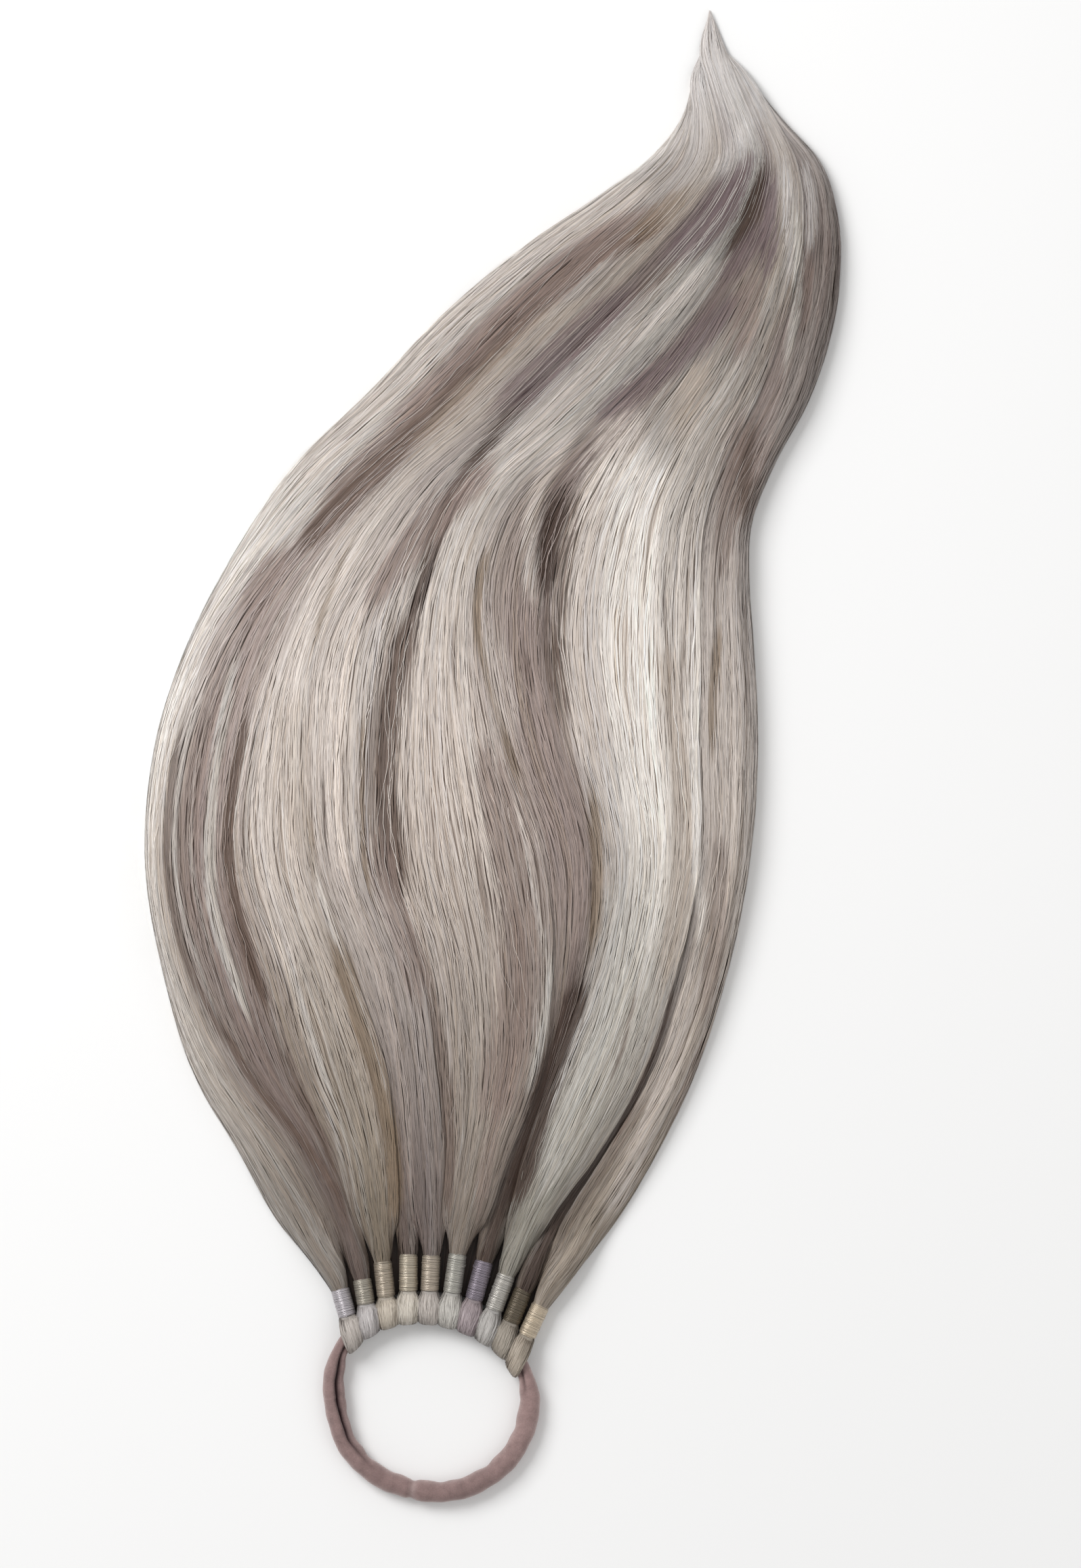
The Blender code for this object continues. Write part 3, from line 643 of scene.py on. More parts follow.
class Shell:
    """Gathers points, four-sided faces, colours and flow coordinates of one piece."""

    def __init__(self):
        self.points = []
        self.faces = []
        self.colours = []
        self.flow = []
        self.count = 0

    def add_grid(self, points, colours, flow, round_rows=False, round_columns=False):
        """Skin a grid of points (rows, columns, 3); colours and flow have the same rows and columns."""
        rows, columns = points.shape[:2]
        numbers = np.arange(rows * columns).reshape(rows, columns) + self.count
        if round_rows:
            numbers = np.concatenate((numbers, numbers[:1]), axis=0)
        if round_columns:
            numbers = np.concatenate((numbers, numbers[:, :1]), axis=1)
        faces = np.stack((numbers[:-1, :-1], numbers[:-1, 1:], numbers[1:, 1:], numbers[1:, :-1]), axis=-1)
        self.take(points, faces, colours, flow)

    def add_ribbons(self, centre, edge, colours, across, along):
        """Skin many ribbons at once: middle lines and half widths (ribbons, steps, 3)."""
        left, right = centre - edge, centre + edge
        ribbons, steps = left.shape[:2]
        points = np.stack((left, right), axis=2)
        numbers = np.arange(ribbons * steps * 2).reshape(ribbons, steps, 2) + self.count
        corners = (numbers[:, :-1, 0], numbers[:, :-1, 1], numbers[:, 1:, 1], numbers[:, 1:, 0])
        colours = np.repeat(colours[:, :, None, :], 2, axis=2)
        flow = np.stack((across, np.repeat(along[:, :, None], 2, axis=2)), axis=-1)
        self.take(points, np.stack(corners, axis=-1), colours, flow)

    def take(self, points, faces, colours, flow):
        self.points.append(points.reshape(-1, 3))
        self.faces.append(faces.reshape(-1, 4))
        self.colours.append(colours.reshape(-1, 3))
        self.flow.append(flow.reshape(-1, 2))
        self.count += len(self.points[-1])

    def build(self, name, material, slot, replaced=None):
        """Make the object, with its colours and flow coordinates on the mesh, riding on the root body."""
        points = np.concatenate(self.points) * MM
        faces = np.concatenate(self.faces)
        mesh = bpy.data.meshes.new(name)
        mesh.vertices.add(len(points))
        mesh.vertices.foreach_set("co", points.astype(np.float32).ravel())
        mesh.loops.add(faces.size)
        mesh.loops.foreach_set("vertex_index", faces.astype(np.int32).ravel())
        mesh.polygons.add(len(faces))
        mesh.polygons.foreach_set("loop_start", np.arange(0, faces.size, 4, dtype=np.int32))
        mesh.polygons.foreach_set("loop_total", np.full(len(faces), 4, dtype=np.int32))
        mesh.update(calc_edges=True)
        mesh.shade_smooth()
        tone = mesh.color_attributes.new("tone", "FLOAT_COLOR", "POINT")
        colours = np.concatenate((np.concatenate(self.colours), np.ones((len(points), 1))), axis=1)
        tone.data.foreach_set("color", colours.astype(np.float32).ravel())
        flow = mesh.uv_layers.new(name="flow")
        flow.data.foreach_set("uv", np.concatenate(self.flow)[faces.ravel()].astype(np.float32).ravel())
        mesh.materials.append(material)
        piece = bpy.data.objects.new(name, mesh)
        bpy.context.scene.collection.objects.link(piece)
        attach(piece, "root")
        if replaced is not None:
            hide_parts(replaced)


def flow_grid(across, along):
    """Flow coordinates of a grid, from those of its columns and those of its rows."""
    return np.stack(np.broadcast_arrays(across[None, :], along[:, None]), axis=-1)


def rolled_edge(aside, normal, roll, width):
    """Half the width of ribbons that turn about their middle lines by an angle."""
    return (aside * np.cos(roll)[..., None] + normal * np.sin(roll)[..., None]) * (width / 2.0)[..., None]


# The elastic's line and where each strand holds it

def band_curve():
    """Points on a smooth closed curve through the elastic's line, and their distance along it."""
    points = np.array(BAND_LINE)
    count = len(points)
    curve = []
    for index in range(count):
        before, start, end, after = (points[(index + step) % count] for step in (-1, 0, 1, 2))
        for sample in range(BAND_CURVE_STEPS):
            t = sample / BAND_CURVE_STEPS
            curve.append(0.5 * (2.0 * start + (end - before) * t
                                + (2.0 * before - 5.0 * start + 4.0 * end - after) * t ** 2
                                + (3.0 * start - before - 3.0 * end + after) * t ** 3))
    curve.append(curve[0])
    return np.array(curve), distances_along(curve)


BAND_CURVE, BAND_LENGTHS = band_curve()
BAND_LENGTH = BAND_LENGTHS[-1]


def on_band(distances):
    """Points on the elastic's middle line, on the surface that it lies on."""
    sides = [np.interp(distances % BAND_LENGTH, BAND_LENGTHS, side) for side in BAND_CURVE.T]
    return np.stack((*sides, np.zeros_like(sides[0])), axis=-1)


def band_place(distances, step=0.6):
    """Points and directions on the elastic's middle line."""
    distances = np.asarray(distances, dtype=float) % BAND_LENGTH
    return on_band(distances), unit(on_band(distances + step) - on_band(distances - step))


def band_grip(distances):
    """1 under the loops, easing to 0 where the elastic lies free."""
    first, last = LOOPS_FROM - BAND_GRIP_MARGIN, LOOPS_TO + BAND_GRIP_MARGIN
    outside = np.maximum(np.maximum(first - distances, distances - last), 0.0)
    return 1.0 - smooth_step(outside / BAND_EASE)


Seat = namedtuple("Seat", "middle along outward shift bottom top axis across length")


def strand_seat(index):
    """Where a strand's loop holds the elastic, and the line of its neck."""
    row = STRANDS[index]
    middle, along = band_place(LOOP_FIRST_AT + LOOP_PITCH * index)
    middle = middle + UP * LOOP_AXIS_HEIGHT
    outward = np.cross(UP, along)
    top = np.array((row.bind_x, row.bind_y, NECK_TOP_HEIGHT))
    axis = unit(top - middle)
    bottom = top - axis * row.bind_length
    shift = axis.dot(along) / axis.dot(outward)
    across = unit(np.cross(axis, UP))
    return Seat(middle, along, outward, shift, bottom, top, axis, across, row.bind_length)


SEATS = [strand_seat(index) for index in range(STRAND_COUNT)]


# Tails

def strand_rows(index):
    """Lines across a strand from inside its binding to its tip, and their distance along it.

    Each row: left x and y, right x and y, height at the left and right, flatness, underside.
    """
    strand = STRANDS[index]
    seat = SEATS[index]
    rows = []
    for along, radius in NECK_ROWS:
        centre = seat.top + seat.axis * along
        left = centre - seat.across * radius
        right = centre + seat.across * radius
        height = 2.0 * radius
        rows.append((left[0], left[1], right[0], right[1], height, height, 0.0, centre[2] - radius))
    for number, station in enumerate(STATIONS[:strand.last + 2]):
        rise = mix(strand.rise, RIDGE_EVEN_RISE, RIDGE_EVENING * smooth_step(number / RIDGE_EASE))
        left = np.array((station.left_x, station.left_y))
        right = np.array((station.right_x, station.right_y))
        ends = []
        heights = []
        for edge in (0.0, *station.seams, 100.0)[index:index + 2]:
            share = edge / 100.0
            drop = SPREAD_EDGE_DROP * abs(2.0 * share - 1.0) ** SPREAD_EDGE_POWER
            ends.append(mix(left, right, share))
            heights.append(max(TIP_HEIGHT, station.crown * (1.0 - drop) * rise))
        rows.append((*ends[0], *ends[1], *heights, 1.0, 0.0))
    rows = np.array(rows)
    return distances_along((rows[:, 0:2] + rows[:, 2:4]) / 2.0), rows


def section_points(rows, side, outer, shrink=0.0):
    """Points over each row's section; side runs from -1 at the left edge to 1 at the right.

    An outer edge comes down to the surface, and an inner one meets its neighbour near the top.
    The dense body is drawn in by shrink, and only the hair over it spills across the seams.
    """
    left, right = rows[:, None, 0:2], rows[:, None, 2:4]
    heights = np.maximum(rows[:, None, 4:6] - shrink, LEAST_HEIGHT)
    flatness = np.clip(rows[:, 6], 0.0, 1.0)[:, None, None]
    underside = np.maximum(rows[:, 7], 0.0)[:, None, None] * (1.0 - flatness)
    middle = (left + right) / 2.0
    half = (right - left) / 2.0
    half_width = np.linalg.norm(half, axis=-1, keepdims=True)
    drawn_in = np.maximum(half_width - shrink * CORE_SIDE_SHRINK, LEAST_HALF_WIDTH)
    half = half * drawn_in / np.maximum(half_width, 1e-6)
    side = side[None, :, None]
    away = np.abs(side)
    open_edge = np.where(side < 0.0, outer[0], outer[1])
    falling = np.clip(1.0 - away ** OUTER_ROUNDNESS, 0.0, 1.0) ** (1.0 / OUTER_ROUNDNESS)
    lift = np.where(open_edge, falling, 1.0 - SEAM_DROP * away ** SEAM_SHARPNESS)
    tall = mix(heights[..., :1], heights[..., 1:], (side + 1.0) / 2.0)
    overlap = SEAM_OVERLAP * (shrink == 0.0) / np.maximum(half_width, 1.0)
    spill = np.where(open_edge, 1.0, 1.0 + overlap)
    flat = np.concatenate((middle + half * side * spill, tall * lift), axis=-1)
    round_turn = pi / 2.0 - side * NECK_ARC / 2.0
    half_height = heights.mean(axis=-1, keepdims=True) / 2.0
    rounded = np.concatenate((middle + half * np.cos(round_turn),
                              half_height + half_height * np.sin(round_turn)), axis=-1)
    points = mix(rounded, flat, flatness)
    points[..., 2:] += underside
    return points


def outer_edges(index):
    """Whether a strand's left and right edges are the tail's own edges."""
    return index == 0, index == STRAND_COUNT - 1


def base_colour(places, index):
    """Colour of a strand's hair without its streaks, at places (..., 2)."""
    low, middle, high = (linear(TONES[name]) for name in STRAND_TONES[index])
    tip = linear(TONES["mist"])
    colours = (tip, high, mix(high, middle, TONE_RUN_ON), middle, mix(middle, low, TONE_RUN_ON), low)
    return smooth_row(TONE_HEIGHTS, colours, view_height(places))


def blended_colour(places, index, share):
    """Colour of a strand's hair with its painted light and shade, running into its neighbours' at the seams;
    share crosses it from 0 to 1.
    """
    light = lightness(places)
    colour = base_colour(places, index)
    for neighbour, away in ((index - 1, share), (index + 1, 1.0 - share)):
        if 0 <= neighbour < STRAND_COUNT:
            amount = 0.5 * (1.0 - smooth_step(away / SEAM_BLEND))[..., None]
            colour = mix(colour, base_colour(places, neighbour), amount)
    if index == 0:
        # Toward the outer edge the hair turns paler, partly its own colour and partly painted light; above
        # the necks it is kept at full painted light, with a painted highlight along its rim
        edge = 1.0 - smooth_step(share / PALE_EDGE_WIDTH)
        colour = mix(colour, linear(TONES["white"]), PALE_EDGE_COLOUR * edge[..., None])
        above_necks = smooth_step((places[..., 1] - PALE_EDGE_Y) / PALE_EDGE_EASE)
        light = mix(light, np.maximum(light, 1.0), EDGE_PAINTED_LIGHT * edge * above_necks)
        rim = 1.0 - smooth_step(share / RIM_HIGHLIGHT_WIDTH)
        light = light * (1.0 + RIM_PAINTED_HIGHLIGHT * above_necks * rim)
    return colour * light[..., None]


def streak_weights(places):
    """How strongly each streak shows at places (..., 2): (streaks, ...)."""
    spots = places.reshape(-1, 2)
    weights = []
    for streak in STREAKS:
        line = from_view(streak.places)
        near, share_along = line_distance(spots, line)
        length = np.linalg.norm(np.diff(line, axis=0), axis=1).sum()
        taper = min(STREAK_TAPER, STREAK_TAPER_SHARE * length)
        ends = smooth_step(np.minimum(share_along, 1.0 - share_along) * length / taper)
        narrowing = STREAK_END_WIDTH + (1.0 - STREAK_END_WIDTH) * ends
        reach = streak.half_width * VIEW_PIXEL * STREAK_SPREAD * narrowing
        weights.append(np.exp(-(near / reach) ** 2) * ends)
    return np.array(weights).reshape(len(STREAKS), *places.shape[:-1])


def lightness(places):
    """Share of full light painted into the hair's colour at places (..., 2)."""
    heights, lights = zip(*PAINTED_LIGHTNESS)
    return np.interp(view_height(places), heights, lights)


def streak_depth(weights, heights):
    """How far the streaks sink the hair, which is never more than a share of its height."""
    depth = STREAK_DEPTH_SHARE * np.tensordot([streak.depth for streak in STREAKS], weights, axes=1)
    return np.minimum(depth, heights * STREAK_HEIGHT_SHARE)


def streaked(colour, weights, threshold=0.0):
    """Colour with the streaks laid over it; hairs with a high threshold take up less of each."""
    for streak, weight in zip(STREAKS, weights):
        taken = smooth_step((weight * STREAK_GAIN - threshold) / STREAK_EASE)
        share = (taken * np.minimum(weight * STREAK_BODY, 1.0) ** 0.5 * streak.strength)[..., None]
        colour = colour * (1.0 - share) + linear(TONES[streak.tone]) * share
    return colour


def line_distance(spots, line):
    """How far spots are from a line of points, and how far along it the nearest place is, from 0 to 1."""
    best = np.full(len(spots), 1e9)
    share = np.zeros(len(spots))
    steps = np.linalg.norm(np.diff(line, axis=0), axis=1)
    passed = distances_along(line)
    for start, end, length, before in zip(line, line[1:], steps, passed):
        along = np.clip((spots - start) @ (end - start) / length ** 2, 0.0, 1.0)
        away = np.linalg.norm(spots - start - along[:, None] * (end - start), axis=1)
        closer = away < best
        best = np.where(closer, away, best)
        share = np.where(closer, (before + along * length) / passed[-1], share)
    return best, share


Tail = namedtuple("Tail", "length spacing points normals colours weights widths")


@lru_cache(maxsize=STRAND_COUNT)
def strand_tail(index):
    """The surface that a strand's hair follows, as a grid along it and over its section."""
    knots, rows = strand_rows(index)
    length = knots[-1]
    places = np.linspace(0.0, length, int(length / TAIL_SPACING) + 1)
    side = np.sin(np.linspace(-pi / 2.0, pi / 2.0, TAIL_FINE_COLUMNS))
    fine = section_points(smooth_row(knots, rows, places), side, outer_edges(index))
    steps = np.linalg.norm(np.diff(fine, axis=1), axis=2)
    passed = np.concatenate((np.zeros((len(places), 1)), np.cumsum(steps, axis=1)), axis=1)
    points = np.empty((len(places), TAIL_COLUMNS, 3))
    for row in range(len(places)):
        marks = np.linspace(0.0, passed[row, -1], TAIL_COLUMNS)
        for direction in range(3):
            points[row, :, direction] = np.interp(marks, passed[row], fine[row, :, direction])
    weights = streak_weights(points[..., :2])
    share = np.broadcast_to(np.linspace(0.0, 1.0, TAIL_COLUMNS), points.shape[:2])
    colours = blended_colour(points[..., :2], index, share)
    points[..., 2] -= streak_depth(weights, points[..., 2])
    normals = unit(np.cross(np.gradient(points, axis=1), np.gradient(points, axis=0)))
    return Tail(length, places[1], points, normals, colours, weights, passed[:, -1])


def tail_widths(tail, along):
    """Width of a strand's hair over its section, at distances along it."""
    return np.interp(along, np.arange(len(tail.widths)) * tail.spacing, tail.widths)


def sample_grid(grid, rows, columns):
    """Values of a grid between its points; rows and columns are fractional numbers of the same shape."""
    row_count, column_count = grid.shape[:2]
    rows = np.clip(rows, 0.0, row_count - 1.001)
    columns = np.clip(columns, 0.0, column_count - 1.001)
    row, column = rows.astype(int), columns.astype(int)
    down, right = (rows - row)[..., None], (columns - column)[..., None]
    return ((grid[row, column] * (1 - right) + grid[row, column + 1] * right) * (1 - down)
            + (grid[row + 1, column] * (1 - right) + grid[row + 1, column + 1] * right) * down)


def add_core(shell, index):
    """The dense inside of a strand, closed, flat below, its colour darkened as painted shade."""
    knots, rows = strand_rows(index)
    places = np.linspace(0.0, knots[-1], CORE_ROWS)
    side = np.sin(np.linspace(-pi / 2.0, pi / 2.0, CORE_COLUMNS))
    top = section_points(smooth_row(knots, rows, places), side, outer_edges(index), shrink=CORE_SHRINK)
    weights = streak_weights(top[..., :2])
    share = np.broadcast_to((side + 1.0) / 2.0, top.shape[:2])
    colours = blended_colour(top[..., :2], index, share)
    colours = streaked(colours, weights) * SHADOW_TINT
    top[..., 2] = np.maximum(top[..., 2] - streak_depth(weights, top[..., 2]), CORE_LOWEST)
    inward = np.linspace(1.0, 0.0, CORE_UNDER_COLUMNS + 2)[1:-1, None]
    below = mix(top[:, None, 0, :], top[:, None, -1, :], inward[None])
    below[..., 2] = np.minimum(CORE_UNDERSIDE, top[:, :1, 2])
    ring = np.concatenate((top, below), axis=1)
    middle = colours[:, CORE_COLUMNS // 2, None]
    shade = np.concatenate((colours, np.repeat(middle, CORE_UNDER_COLUMNS, axis=1)), axis=1) * CORE_SHADE
    flow = flow_grid(np.arange(ring.shape[1]) * 1.0, places)
    shell.add_grid(ring, shade, flow, round_columns=True)
    for row, order in ((0, -1), (-1, 1)):
        centre = np.repeat(ring[row].mean(axis=0)[None], ring.shape[1], axis=0)
        cap = np.stack((centre, ring[row]))[::order]
        shell.add_grid(cap, np.stack((shade[row],) * 2), np.stack((flow[row],) * 2), round_columns=True)


def bundle_lengths(tail, count, random):
    """Where each bundle begins and ends along the strand."""
    reach = random.uniform(*BUNDLE_REACH, count) * tail.length
    start = random.uniform(*BUNDLE_START, count) * tail.length
    begins = np.clip(start, 0.0, tail.length - 30.0)
    ends = np.clip(start + reach, 40.0, tail.length * random.uniform(*BUNDLE_END, count))
    return begins, np.maximum(ends, begins + 20.0)


def hair_grain(tail, along, beside, random):
    """Soft uneven patches, long along the hair and narrow across it."""
    grain = np.zeros_like(along)
    for width, length, amount in GRAINS:
        lattice = random.uniform(-1.0, 1.0, (int(tail.length / length) + 3, int(GRAIN_REACH / width), 1))
        columns = beside / width + lattice.shape[1] / 2.0
        grain += amount * sample_grid(lattice, along / length, columns)[..., 0]
    return grain


def add_tail_fibres(shell, index, looks, random):
    """Long fine bundles of hair that follow the strand in clumps."""
    tail = strand_tail(index)
    last_column = tail.points.shape[1] - 1
    mean_width = tail.widths[5:-5].mean()
    count = int(looks.fibres_per_millimetre * mean_width)
    clumps = max(4, round(mean_width / (looks.clump_width / MM)))
    begins, ends = bundle_lengths(tail, count, random)
    free_start = (begins > 1.0)[:, None]
    free_end = (ends < tail.length * BUNDLE_FREE_END)[:, None]
    share = np.linspace(0.0, 1.0, looks.fibre_steps)[None, :]
    along = mix(begins[:, None], ends[:, None], share)
    width_here = np.maximum(tail_widths(tail, along), LEAST_WIDTH)
    loose = looseness(width_here)

    # Place across the strand: in clumps that drift from lane to lane, the upper ones more
    home = random.uniform(0.0, 1.0, count)
    clump = np.minimum((home * clumps).astype(int), clumps - 1)
    beside = (home * clumps - clump - 0.5) * 2.0
    phases = random.uniform(0.0, 1.0, (4, clumps))[:, clump][:, :, None]
    upper = (random.uniform(0.0, 1.0, clumps) < UPPER_CLUMPS)[clump]
    sway = np.where(upper, 0.28, 0.14)[:, None] / clumps
    lane = waves(along, CLUMP_WAVES, phases[:3]) * sway
    tight = 1.08 + 0.16 * waves(along, TIGHTNESS_WAVES, phases[1:3])
    column = (clump + 0.5)[:, None] / clumps + lane + beside[:, None] * tight / (2.0 * clumps)
    own = random.uniform(0.0, 1.0, (3, count, 1))
    column += waves(along, BUNDLE_WAVES, own) * 0.6 / width_here
    rows = along / tail.spacing
    columns = (1.0 - np.abs(1.0 - np.abs(column))) * last_column
    centre = sample_grid(tail.points, rows, columns)
    normal = unit(sample_grid(tail.normals, rows, columns))

    # Colour: the strand's own, its paler and deeper hair, then the streaks
    layer = random.uniform(0.0, 1.0, count)
    threshold = random.uniform(-0.05, 0.65, count)[:, None]
    grain = hair_grain(tail, along, (columns / last_column - 0.5) * width_here, random)
    colour = sample_grid(tail.colours, rows, columns)
    # Painted light and shade along the view, laid over the accents too
    light = lightness(centre)[..., None]
    calm = mix(0.35, 1.0, loose)
    accent = random.normal(0.0, ACCENT_SPREAD, count)[:, None] + grain * ACCENT_GRAIN
    for name, strength, showing in zip(STRAND_ACCENTS[index], (0.55, 0.5), (accent - 0.1, -accent - 0.25)):
        amount = (strength * calm * smooth_step(showing))[..., None]
        colour = mix(colour, linear(TONES[name]) * light, amount)
    weights = [sample_grid(grid[..., None], rows, columns)[..., 0] for grid in tail.weights]
    colour = streaked(colour, weights, threshold + STREAK_GRAIN * grain)

    # Height: clumps are round, and free ends dive into the hair below
    ridge = 1.0 - beside ** 2
    standing = ridge * looks.clump_relief / MM + upper * UPPER_LIFT + layer * BUNDLE_LAYERS - BUNDLE_SINK
    lift = standing[:, None] * mix(0.25, 1.0, loose)
    lift = lift + BUNDLE_UNDULATION * waves(along, LIFT_WAVES, own[:2]) * loose
    taper = 1.0 - smooth_step(1.0 - np.minimum(share, 1.0 - share) / BUNDLE_TAPER)
    free = np.where(share < 0.5, free_start, free_end)
    lift = lift - free * (1.0 - taper) * BUNDLE_DIVE * loose
    centre = centre + normal * lift[..., None]
    centre[..., 2] = np.maximum(centre[..., 2], BUNDLE_LOWEST)

    # Width: pointed at the free ends and at the tip, narrower where the strand is drawn tight
    width = looks.fibre_width / MM * random.uniform(*BUNDLE_WIDTHS, count)[:, None]
    pointed = np.where(share < 0.5, np.where(free_start, taper, 1.0), taper)
    crowd = mix(0.5, 1.0, smooth_step((width_here - LEAST_WIDTH) / LOOSENING))
    width = width * (BUNDLE_END_WIDTH + (1.0 - BUNDLE_END_WIDTH) * pointed) * crowd
    aside = unit(np.cross(unit(np.gradient(centre, axis=1)), normal))
    roll = random.normal(0.0, 0.1, count)[:, None] + 0.14 * random_waves(random, along, ROLL_WAVES, count)
    edge = rolled_edge(aside, normal, roll, width)

    # Shade: single hairs and clumps differ, a few bundles are lighter as painted glints and a few darker, and
    # buried hair gets painted shade, darker and warmer
    own_tone = np.exp(random.normal(0.0, looks.fibre_contrast, count))
    special = random.uniform(0.0, 1.0, count)
    own_tone = own_tone * np.where(special < 0.05, 1.1, 1.0) * np.where(special > 0.95, 0.8, 1.0)
    clump_tone = np.exp(random.normal(0.0, 0.06, clumps))[clump]
    buried_shade = np.clip(1.0 - (ridge * 0.4 + layer * 0.45 + upper * 0.2), 0.0, 1.0)
    along_tone = 1.0 + 0.07 * random_waves(random, along, SHADE_WAVES, count)
    warmth = random.normal(0.0, 0.013, count)
    tint = np.stack((1.0 + warmth, np.ones(count), 1.0 - 1.5 * warmth), axis=-1)[:, None, :]
    shade = (own_tone * clump_tone * (1.0 - 0.2 * buried_shade))[:, None] * along_tone
    tint = tint * mix(1.0, SHADOW_TINT, buried_shade[:, None])[:, None, :]
    colour = np.clip(colour * shade[..., None] * tint, 0.0, LIGHTEST)
    across = columns / last_column * width_here
    sides = np.stack((across - width / 2.0, across + width / 2.0), axis=-1)
    shell.add_ribbons(centre, edge, colour, sides, along)


def add_low_hair(shell, index, random):
    """Hair painted very dark as deep shade, lying low between a strand's neck and the next one's."""
    here, beyond = SEATS[index], SEATS[index + 1]
    count, steps = LOW_HAIRS, LOW_HAIR_STEPS
    side = random.uniform(-0.1, 1.1, count)[:, None]
    path = [mix(here.bottom, beyond.bottom, side), mix(here.top, beyond.top, side)]
    for station, spread in zip(STATIONS, LOW_HAIR_SPREADS):
        left = np.array((station.left_x, station.left_y, 0.0))
        right = np.array((station.right_x, station.right_y, 0.0))
        seam = mix(left, right, station.seams[index] / 100.0)
        path.append(seam + unit(right - left) * (side - 0.5) * spread)
    path = np.stack(path, axis=1)
    path[..., 2] = random.uniform(0.4, 1.5, (count, 1)) * np.array(LOW_HAIR_HEIGHTS)
    centre = smooth_paths(path, steps)
    centre[..., 2] = np.maximum(centre[..., 2], LOW_HAIR_HALF_WIDTH)
    edge = unit(np.cross(unit(np.gradient(centre, axis=1)), UP)) * LOW_HAIR_HALF_WIDTH
    colour = linear(TONES["dark"]) * random.uniform(0.22, 0.62, count)[:, None, None] * np.ones((1, steps, 1))
    along = np.broadcast_to(np.linspace(0.0, LOW_HAIR_LENGTH, steps), (count, steps))
    rims = np.array((-LOW_HAIR_HALF_WIDTH, LOW_HAIR_HALF_WIDTH))
    across = np.broadcast_to(side[:, :, None] * 5.0 + rims, (count, steps, 2))
    shell.add_ribbons(centre, edge, colour, across, along)


def add_loose_hairs(shell, index, count, reach, steps, random):
    """Single hairs that have come away from a strand and drift over it and its neighbours."""
    tail = strand_tail(index)
    share = np.linspace(0.0, 1.0, steps)[None, :]
    length = random.uniform(*reach, count)[:, None]
    begins = random.uniform(20.0, tail.length - 60.0, count)[:, None]
    along = np.minimum(begins + length * share, tail.length * 0.985)
    rows = along / tail.spacing
    home = random.uniform(0.06, 0.94, count)[:, None]
    home = home + 0.07 * random_waves(random, along, (173.0, 89.0), count)
    columns = np.clip(home, 0.0, 1.0) * (tail.points.shape[1] - 1)
    centre = sample_grid(tail.points, rows, columns)
    normal = unit(sample_grid(tail.normals, rows, columns))

    # Long hairs bow and curl, short ends stay calm, and all do so less where the strand is tight
    aside = unit(np.cross(unit(np.gradient(centre, axis=1)), UP))
    bow = random.normal(0.0, 3.2, count)[:, None]
    bow = bow * (share - random.uniform(0.0, 1.0, count)[:, None]) ** 2 * 2.0
    calm = np.minimum(1.0, length / 60.0) ** 1.5
    curl = 0.9 * calm * random_waves(random, along, (67.0, 29.0, 13.0), count)
    drift = (bow * calm + curl) * looseness(tail_widths(tail, along))
    rise = random.uniform(0.15, 0.9, count)[:, None] * (0.6 + 0.4 * np.sin(pi * share))
    centre = centre + aside * drift[..., None] + (normal * 0.4 + UP * 0.6) * rise[..., None]
    centre[..., 2] = np.maximum(centre[..., 2], 0.4)
    # The strand's colour, lighter or darker at random; the lighter ones are partly painted glints
    colour = sample_grid(tail.colours, rows, columns) * random.uniform(0.9, 1.35, count)[:, None, None]
    width = random.uniform(0.1, 0.17, count)[:, None, None]
    width = width * (0.3 + 0.7 * np.sin(pi * share) ** 0.5)[..., None]
    edge = unit(np.cross(unit(np.gradient(centre, axis=1)), normal)) * width / 2.0
    rims = np.array((-0.06, 0.06))
    across = np.broadcast_to(np.arange(count)[:, None, None] * 2.0 + rims, (count, steps, 2))
    shell.add_ribbons(centre, edge, np.clip(colour, 0.0, LIGHTEST), across, along)


# Loops of hair round the elastic

def loop_point(seat, turn, side, out):
    """A place on a strand's loop: turn round the elastic from the neck, side in half widths, out in mm."""
    half_width = LOOP_HALF_WIDTH + LOOP_FLARE * max(0.0, sin(turn))
    wedge = 1.0 + out * cos(turn) / LOOP_WEDGE_RADIUS
    reach = (out * cos(turn))[..., None]
    return (seat.middle + seat.outward * reach + UP * (out * sin(turn))[..., None]
            + seat.along * (reach * seat.shift + (side * half_width * wedge)[..., None]))


def loop_paths(seat, side, out_scale):
    """Lines of hair from the binding, over and round the elastic, and back into the binding."""
    rounding = np.maximum(1.0 - np.abs(side) ** LOOP_ROUNDNESS, 0.0) ** 0.5
    bulge = LOOP_INNER_RADIUS + LOOP_THICKNESS * out_scale * (0.45 + 0.55 * rounding)
    ends = []
    for above in (1.0, -1.0):
        for along, wide, tall, square in LOOP_ENDS:
            height = above * tall * (square + (1.0 - square) * rounding)
            offset = seat.across[None] * (side * wide)[:, None] + UP[None] * height[:, None]
            ends.append(seat.bottom + seat.axis * along + offset)
    path = ends[:2]
    for turn in np.radians(LOOP_TURNS):
        stretch = 1.0 + LOOP_REACH_IN * max(0.0, cos(turn)) ** 2 + LOOP_REACH_UP * max(0.0, sin(turn)) ** 2
        path.append(loop_point(seat, turn, side, bulge * stretch))
    path += [ends[3], ends[2]]
    return np.stack(path, axis=1)


def smooth_paths(paths, steps):
    """Smooth curves through the points of many paths (paths, points, 3), at equal steps of number."""
    places = np.linspace(0.0, paths.shape[1] - 1, steps)
    rows = paths.transpose(1, 0, 2).reshape(paths.shape[1], -1)
    curve = smooth_row(np.arange(paths.shape[1]), rows, places)
    return curve.reshape(steps, paths.shape[0], 3).transpose(1, 0, 2)


def loop_surface(seat, side, out_scale):
    """Rows of points round a strand's loop."""
    paths = loop_paths(seat, side, np.full(len(side), out_scale))
    return smooth_paths(paths, LOOP_BODY_ROWS).transpose(1, 0, 2)


